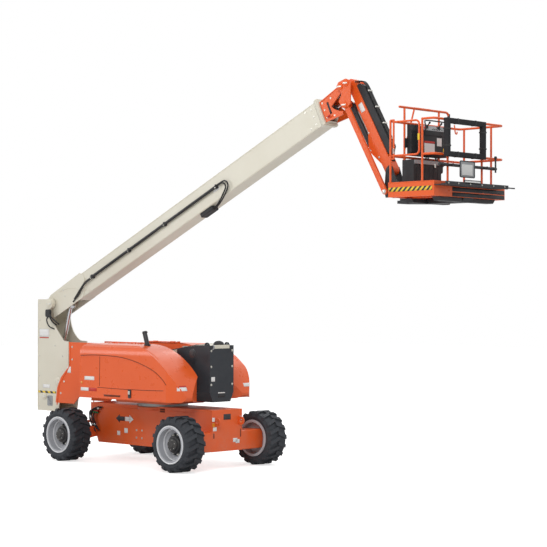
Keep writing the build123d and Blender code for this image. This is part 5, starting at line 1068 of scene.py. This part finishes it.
for flank, side, _ in FLANKS:
    side_film("toe_board_hazard_" + flank, "platform_floor", (DECK_REAR + 0.010, DECK_FRONT - 0.040),
              (FLOOR_Z + 0.006, FLOOR_Z + 0.074), "hazard_edge", body, side, divisions=(12, 2))
    top_lip = [(x, side * OUTSIDE, FLOOR_Z + 0.146) for x in (DECK_REAR + 0.02, DECK_FRONT - 0.03)]
    route = landing("platform_floor", top_lip, (0, -side, 0))
    lines("toe_board_lip_" + flank, [route], 0.006, "orange", body, steps=0, sides=8)
for label, low, high in (("beam", -0.074, -0.012), ("board", 0.004, 0.070)):
    front_film("front_" + label + "_cover", "platform_floor", (-0.46, 0.90),
               (FLOOR_Z + low, FLOOR_Z + high), "black", body)
treads = [[(x - 0.020, y - 0.014, FLOOR_Z + 0.0032), (x + 0.020, y + 0.014, FLOOR_Z + 0.0032)]
          for x in np.arange(DECK_REAR + 0.075, DECK_FRONT - 0.06, 0.070)
          for y in np.arange(-0.80, 0.81, 0.100)]
lines("deck_tread_bars", treads, 0.0028, "black", body, steps=0, sides=6)

# collars on the post feet and rail joints, the gate's spring and catch
collars = Shape()
for x, y in ((RAIL_X[0], -RAIL_Y), (RAIL_X[1], HOOP_Y[0]), (RAIL_X[1], HOOP_Y[1]), (RAIL_X[0], HOOP_Y[0]),
             (RAIL_X[0], HOOP_Y[1])):
    flange = [(0.0180, 0.0), (0.034, 0.0), (0.034, 0.006), (0.024, 0.014), (0.0180, 0.016)]
    collars.ring(flange, (x, y, FLOOR_Z + 0.004), (0, 0, 1), 24)
    for z in (0.570, 1.115):
        sleeve = [(0.0180, -0.026), (0.0215, -0.024), (0.0215, 0.024), (0.0180, 0.026)]
        if x == RAIL_X[1] or z < 1.0:
            collars.ring(sleeve, (x, y, FLOOR_Z + z - 0.030), (0, 0, 1), 24)
piece("post_collars", collars, "orange", body)
GATE_X = DECK_REAR + 0.090
COIL_RADIUS = 0.0205
turns = np.linspace(0.0, 9 * 2 * math.pi, 9 * 14)
coil = np.stack((GATE_X + COIL_RADIUS * np.cos(turns), -RAIL_Y + COIL_RADIUS * np.sin(turns),
                 np.linspace(FLOOR_Z + 0.60, FLOOR_Z + 0.68, len(turns))), 1)
lines("gate_spring", [coil], 0.0026, "zinc", "gate_leaf", steps=0, sides=6)
plate("gate_catch", NEAR, (GATE_X + 0.510 + 0.002, -RAIL_Y - 0.012, FLOOR_Z + 0.84), (0.034, 0.100), 0.012,
      "yellow", "gate_leaf", radius=0.006)

# console: keypad top, two levers with gaiters, switches, stop button, screen and guard bar
top_back = np.array([CONSOLE_X - 0.0946, 0.0, FLOOR_Z + 1.095])
top_front = np.array([CONSOLE_X, 0.0, FLOOR_Z + 1.000])
slope = unit(top_back - top_front)
panel_face = (np.array([0.0, 1.0, 0.0]), slope)
panel_out = np.cross(*panel_face)
panel_mid = (top_back + top_front) / 2


def on_panel(y, up, lift=0.006):
    """A point on the console's sloping top: across it, up its slope and off it."""
    return panel_mid + (0.0, y, 0.0) + up * slope + lift * panel_out


plate("console_panel", panel_face, on_panel(-0.034, 0.0, 0.0), (0.60, 0.120), 0.006, "grey", body,
      radius=0.012)
plate("console_screen", panel_face, on_panel(0.190, 0.0), (0.120, 0.080), 0.006, "glass", body, radius=0.008)
switch = [(AXIS, 0.0), (0.009, 0.0), (0.009, 0.006), (0.0045, 0.009), (0.0038, 0.026), (AXIS, 0.028)]
spots = [on_panel(y, -0.036) for y in np.arange(-0.10, 0.11, 0.042)]
turning("console_switches", switch, spots, panel_out, 12, "plastic", body)
stop = [(AXIS, 0.0), (0.012, 0.0), (0.012, 0.014), (0.024, 0.018), (0.024, 0.026), (0.018, 0.032),
        (AXIS, 0.034)]
turning("console_stop_button", stop, on_panel(-0.290, -0.020), panel_out, 24, "red", body)
LEVER = ((AXIS, 0.0), (0.032, 0.0), (0.034, 0.006), (0.026, 0.012), (0.028, 0.018), (0.020, 0.024),
         (0.021, 0.030), (0.013, 0.036), (0.009, 0.044), (0.009, 0.070), (0.014, 0.078), (0.017, 0.098),
         (0.013, 0.110), (AXIS, 0.113))
for number, y in enumerate((-0.215, 0.085)):
    turning("console_lever_%d" % number, LEVER, on_panel(y, 0.014), panel_out, 24, "hose", body)
guard = [(CONSOLE_X + forward, y, FLOOR_Z + z) for forward, y, z in (
    (-0.02, -0.335, 0.96), (0.035, -0.335, 1.03), (0.005, -0.325, 1.135), (-0.02, -0.24, 1.165),
    (-0.02, 0.17, 1.165), (0.005, 0.262, 1.135), (0.035, 0.270, 1.03), (-0.02, 0.270, 0.96))]
lines("console_guard_bar", [guard], 0.011, "black", body, sides=12)
for label, y, z, colour in (
    ("plate_low", (-0.330, -0.070), (0.640, 0.800), "white"),
    ("plate_red", (-0.330, -0.070), (0.804, 0.836), "red"),
    ("plate_high", (-0.010, 0.110), (0.770, 0.900), "white"),
    ("plate_small", (0.150, 0.240), (0.680, 0.740), "yellow"),
):
    plate("console_" + label, FRONT, (CONSOLE_X, sum(y) / 2, FLOOR_Z + sum(z) / 2),
          (y[1] - y[0], z[1] - z[0]), 0.003, colour, body)
console_edges = Shape()
for y in (-0.350, 0.284):
    console_edges.tube([(CONSOLE_X - 0.002, y, FLOOR_Z + z) for z in (0.665, 0.995)], 0.006, 8)
console_edges.slab(FRONT, (CONSOLE_X, -0.034, FLOOR_Z + 0.955), (0.58, 0.050), 0.010, radius=0.008)
piece("console_front_ribs", console_edges, "plastic", body)
WIRE = ((0.13, 0.0, 0.602), (0.14, 0.01, 0.575), (0.15, 0.02, 0.523))
wires = [[(RAIL_X[0] + x, start + y, FLOOR_Z + z) for x, y, z in WIRE]
         for start in (-0.20, -0.16, -0.12, 0.06, 0.10)]
lines("console_wiring", wires, 0.009, "hose", body, steps=6, sides=8)

# tool box: lid line, hasps, ribs and the document pouch beside it
box_low, box_high = node_box("tool_box")
box_mid = (box_low + box_high) / 2
plate("tool_box_lid", FRONT, (box_high[0], box_mid[1], box_high[2] - 0.036),
      (box_high[1] - box_low[1] - 0.02, 0.060), 0.012, "grey", body, radius=0.008)
spots = [(box_high[0], y, box_mid[2] - 0.03) for y in np.linspace(box_low[1] + 0.08, box_high[1] - 0.08, 6)]
plate("tool_box_ribs", FRONT, spots, (0.022, 0.36), 0.006, "plastic", body, radius=0.008)
spots = [(box_high[0] + 0.010, y, box_high[2] - 0.078) for y in (box_low[1] + 0.18, box_high[1] - 0.18)]
plate("tool_box_hasps", FRONT, spots, (0.040, 0.062), 0.010, "zinc", body, radius=0.006)
plate("document_pouch", FRONT, (RAIL_X[0] + 0.020, 0.215, FLOOR_Z + 0.445), (0.260, 0.180), 0.070,
      "plastic", body, radius=0.025, bevel=0.015)
plate("document_pouch_flap", FRONT, (RAIL_X[0] + 0.089, 0.215, FLOOR_Z + 0.500), (0.270, 0.080), 0.008,
      "foam", body, radius=0.020)

# padded frame: square sleeves mitred at the corners, saddles on the rail, cuffs, hook
PAD_X = RAIL_X[1] + RAIL_RADIUS + 0.050 + 0.006
PAD_LOW, PAD_HIGH = (-0.693, FLOOR_Z + 0.532), (0.303, FLOOR_Z + 1.128)
PAD_HALF = 0.041
section = rounded_outline(0.086, 2 * PAD_HALF, 0.016, 4)
loops = []
for y, z, out_y, out_z in ((PAD_LOW[0], PAD_LOW[1], 1, 1), (PAD_HIGH[0], PAD_LOW[1], -1, 1),
                           (PAD_HIGH[0], PAD_HIGH[1], -1, -1), (PAD_LOW[0], PAD_HIGH[1], 1, -1),
                           (PAD_LOW[0], PAD_LOW[1], 1, 1)):
    loops.append([(PAD_X + forward, y + out_y * (PAD_HALF + inward), z + out_z * (PAD_HALF + inward))
                  for forward, inward in section])
padded = piece("padded_frame_bars", Shape().grid(np.array(loops), wrap=True), "foam", body)
spots = [(RAIL_X[1] + 0.028, y, FLOOR_Z + z) for y in (-0.495, 0.105) for z in (1.080, 0.548)]
plate("padded_frame_saddles", TOP, spots, (0.075, 0.050), 0.044, "foam", body, radius=0.010)
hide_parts("padded_frame")
UPRIGHT_CUFF, LEVEL_CUFF = (0.088, 0.024), (0.024, 0.088)
cuffs = Shape()
for places, size in ((((-0.652, 0.70), (-0.652, 0.96), (0.262, 0.70), (0.262, 0.96)), UPRIGHT_CUFF),
                     (((-0.42, 0.573), (0.03, 0.573), (-0.42, 1.087), (0.03, 1.087)), LEVEL_CUFF)):
    for y, z in places:
        cuffs.slab(FRONT, (PAD_X - 0.045, y, FLOOR_Z + z), size, 0.090, radius=0.003)
piece("padded_frame_cuffs", cuffs, "hose", body)
hook = [(PAD_X + forward, y, FLOOR_Z + z) for forward, y, z in (
    (0.02, -0.500, 1.020), (0.03, -0.500, 0.960), (0.03, -0.488, 0.900), (0.03, -0.455, 0.885),
    (0.03, -0.440, 0.920))]
lines("lanyard_hook", [hook], 0.010, "orange", body)

# clamp bar across the front: grips, knobs and the clip board
BAR_X = RAIL_X[1] + RAIL_RADIUS + 0.024 + 0.010
BAR_Z = FLOOR_Z + 0.405
grips = Shape()
for y in (-0.800, -0.700, 0.560):
    grips.ring([(0.0235, -0.020), (0.0275, -0.018), (0.0275, 0.018), (0.0235, 0.020)], (BAR_X, y, BAR_Z),
               (0, 1, 0), 24)
grips.turned([(AXIS, 0.0), (0.020, 0.0), (0.024, 0.012), (0.024, 0.030), (0.016, 0.042), (AXIS, 0.045)],
             (BAR_X, 0.630, BAR_Z + 0.160), (0, 0, 1), 20)
piece("clamp_bar_grips", grips, "hose", body)
knob = [(AXIS, 0.0), (0.008, 0.0), (0.008, 0.018), (0.024, 0.022), (0.026, 0.034), (0.018, 0.042),
        (AXIS, 0.044)]
turning("clamp_bar_knobs", knob, [(BAR_X + 0.022, y, BAR_Z) for y in HOOP_Y], (1, 0, 0), 8, "plastic", body)
BOARD_Y, BOARD_Z, BOARD_SIZE = -0.155, BAR_Z - 0.050, (0.370, 0.250)
plate("clip_board", FRONT, (BAR_X + 0.020, BOARD_Y, BOARD_Z), BOARD_SIZE, 0.012, "grey", body, radius=0.020)
rim = rounded_outline(*BOARD_SIZE, 0.020, 4)
loop = [(BAR_X + 0.034, BOARD_Y + y, BOARD_Z + z) for y, z in np.vstack((rim, rim[:1]))]
lines("clip_board_rim", [loop], 0.008, "plastic", body, steps=0, sides=8)
plate("clip_board_sheet", FRONT, (BAR_X + 0.032, BOARD_Y, BOARD_Z - 0.010), (0.270, 0.170), 0.003, "white",
      body)

# panel tray: cleats, side rods, label in its frame
tray_low, tray_high = node_box("panel_tray")
label_z = tray_low[2] + 0.058
plate("tray_label_frame", FRONT, (tray_high[0] - 0.012, -0.235, label_z), (0.440, 0.070), 0.010, "plastic",
      body, radius=0.008)
plate("tray_label", FRONT, (tray_high[0] - 0.002, -0.235, label_z), (0.390, 0.044), 0.002, "white", body)
spots = [(tray_high[0] - 0.10, y, tray_low[2] + 0.012) for y in (-0.80, -0.55, 0.10, 0.35, 0.60)]
plate("tray_rubber_cleats", TOP, spots, (0.150, 0.050), 0.018, "rubber", body, radius=0.010, bevel=0.006)
rods = [[(tray_high[0] - back, y, tray_low[2] + 0.020) for y in (0.690, 0.905)] for back in (0.03, 0.17)]
lines("tray_side_rods", rods, 0.011, "black", body, steps=0)
spots = [(tray_high[0], y, tray_low[2] + 0.028) for y in (-0.85, -0.60, -0.30, 0.0, 0.30, 0.60)]
bolts("tray_bolts", spots, (1, 0, 0), 0.009, 0.008, body)

# hoop over the controls: grip and rubber end
HOOP_Z = FLOOR_Z + 1.365
lines("hoop_grip", [[(RAIL_X[0], y, HOOP_Z) for y in (-0.30, 0.10)]], 0.0215, "orange", body, steps=0,
      sides=16)
boot = [(AXIS, -0.090), (0.0195, -0.090), (0.0235, -0.088), (0.0235, -0.004), (0.018, 0.002), (AXIS, 0.004)]
turning("hoop_end_boot", boot, (RAIL_X[0], 0.595, HOOP_Z - 0.110), (0, 0, -1), 20, "hose", body)

# bolt circle of the rotator, caps on the support's pin
ROTATOR_X = float(ARM_END[0]) + 0.290
spots = [(ROTATOR_X + 0.100 * math.cos(turn), 0.100 * math.sin(turn), FLOOR_Z + 0.211)
         for turn in full_turn(12)]
bolts("rotator_bolts", spots, (0, 0, 1), 0.009, 0.008, "support")
for flank, side, _ in FLANKS:
    cap = [(AXIS, 0.0), (0.050, 0.0), (0.050, 0.009), (0.042, 0.014), (AXIS, 0.016)]
    turning("support_pin_cap_" + flank, cap, ARM_END + (0.0, side * 0.100, 0.0), (0, side, 0), 28, "black",
            "support")

# ---------------------------------------------------------------- studio

FLOOR_HALF = 60.0
FLOOR_GLOW = 0.62           # brings the lit floor up to plain white for the camera
WORLD_FILL = 0.48           # world strength that lights the machine
floor_mesh = bpy.data.meshes.new("studio_floor")
corners = [(x * FLOOR_HALF, y * FLOOR_HALF, 0) for x, y in ((-1, -1), (1, -1), (1, 1), (-1, 1))]
floor_mesh.from_pydata(corners, [], [(0, 1, 2, 3)])
floor = bpy.data.objects.new("studio_floor", floor_mesh)
scene.collection.objects.link(floor)

white = bpy.data.materials.new("studio_white")
white.use_nodes = True
white_nodes = white.node_tree
shader = white_nodes.nodes["Principled BSDF"]
shader.inputs["Base Color"].default_value = (0.8, 0.8, 0.8, 1.0)
shader.inputs["Roughness"].default_value = 0.9
shader.inputs["Emission Color"].default_value = (1.0, 1.0, 1.0, 1.0)
path = white_nodes.nodes.new("ShaderNodeLightPath")
glow = arithmetic(white_nodes, "MULTIPLY", path.outputs["Is Camera Ray"], FLOOR_GLOW)
white_nodes.links.new(glow, shader.inputs["Emission Strength"])
floor_mesh.materials.append(white)

scene.view_settings.view_transform = "Standard"
world = bpy.data.worlds.new("studio_world")
scene.world = world
world.use_nodes = True
sky = world.node_tree
background = sky.nodes["Background"]
background.inputs["Color"].default_value = (1.0, 1.0, 1.0, 1.0)
path = sky.nodes.new("ShaderNodeLightPath")
seen = arithmetic(sky, "MAXIMUM", path.outputs["Is Camera Ray"], path.outputs["Is Glossy Ray"])
sky.links.new(ramp(sky, seen, WORLD_FILL, 1.0, ends="To"), background.inputs["Strength"])

LAMPS = (
    # name, position from the slewing axis, watts, size in metres
    ("key_softbox", (14.0, -16.0, 14.0), 2000.0, 9.0),
    ("fill_softbox", (-14.0, -14.0, 9.0), 850.0, 9.0),
    ("top_softbox", (2.0, 2.0, 18.0), 1000.0, 12.0),
    ("rear_softbox", (-6.0, 16.0, 10.0), 600.0, 8.0),
)
LAMP_AIM = at(2.0, 0.0, 3.0)
for lamp_name, position, watts, size in LAMPS:
    lamp = bpy.data.lights.new(lamp_name, "AREA")
    lamp.energy = watts
    lamp.size = size
    lamp_object = bpy.data.objects.new(lamp_name, lamp)
    scene.collection.objects.link(lamp_object)
    place = at(*position)
    lamp_object.location = place
    lamp_object.rotation_euler = Vector(LAMP_AIM - place).to_track_quat("-Z", "Y").to_euler()

# ---------------------------------------------------------------- camera

CAMERA_AT = at(23.163, -21.389, 3.125)
CAMERA_AIM = at(2.8244, 0.0, 3.4816)
CAMERA_ROLL = math.radians(0.134)
camera_data = bpy.data.cameras.new("studio_camera")
camera_data.sensor_width = 36.0
camera_data.lens = 111.56
camera_data.clip_end = 300.0
camera = bpy.data.objects.new("studio_camera", camera_data)
scene.collection.objects.link(camera)
forward = CAMERA_AIM - CAMERA_AT
forward /= np.linalg.norm(forward)
right = np.cross(forward, (0.0, 0.0, 1.0))
right /= np.linalg.norm(right)
up = np.cross(right, forward)
rolled_right = right * math.cos(CAMERA_ROLL) + up * math.sin(CAMERA_ROLL)
rolled_up = up * math.cos(CAMERA_ROLL) - right * math.sin(CAMERA_ROLL)
camera_axes = np.eye(4)
camera_axes[:3] = np.stack((rolled_right, rolled_up, -forward, CAMERA_AT), 1)
camera.matrix_world = Matrix(camera_axes.tolist())
scene.camera = camera
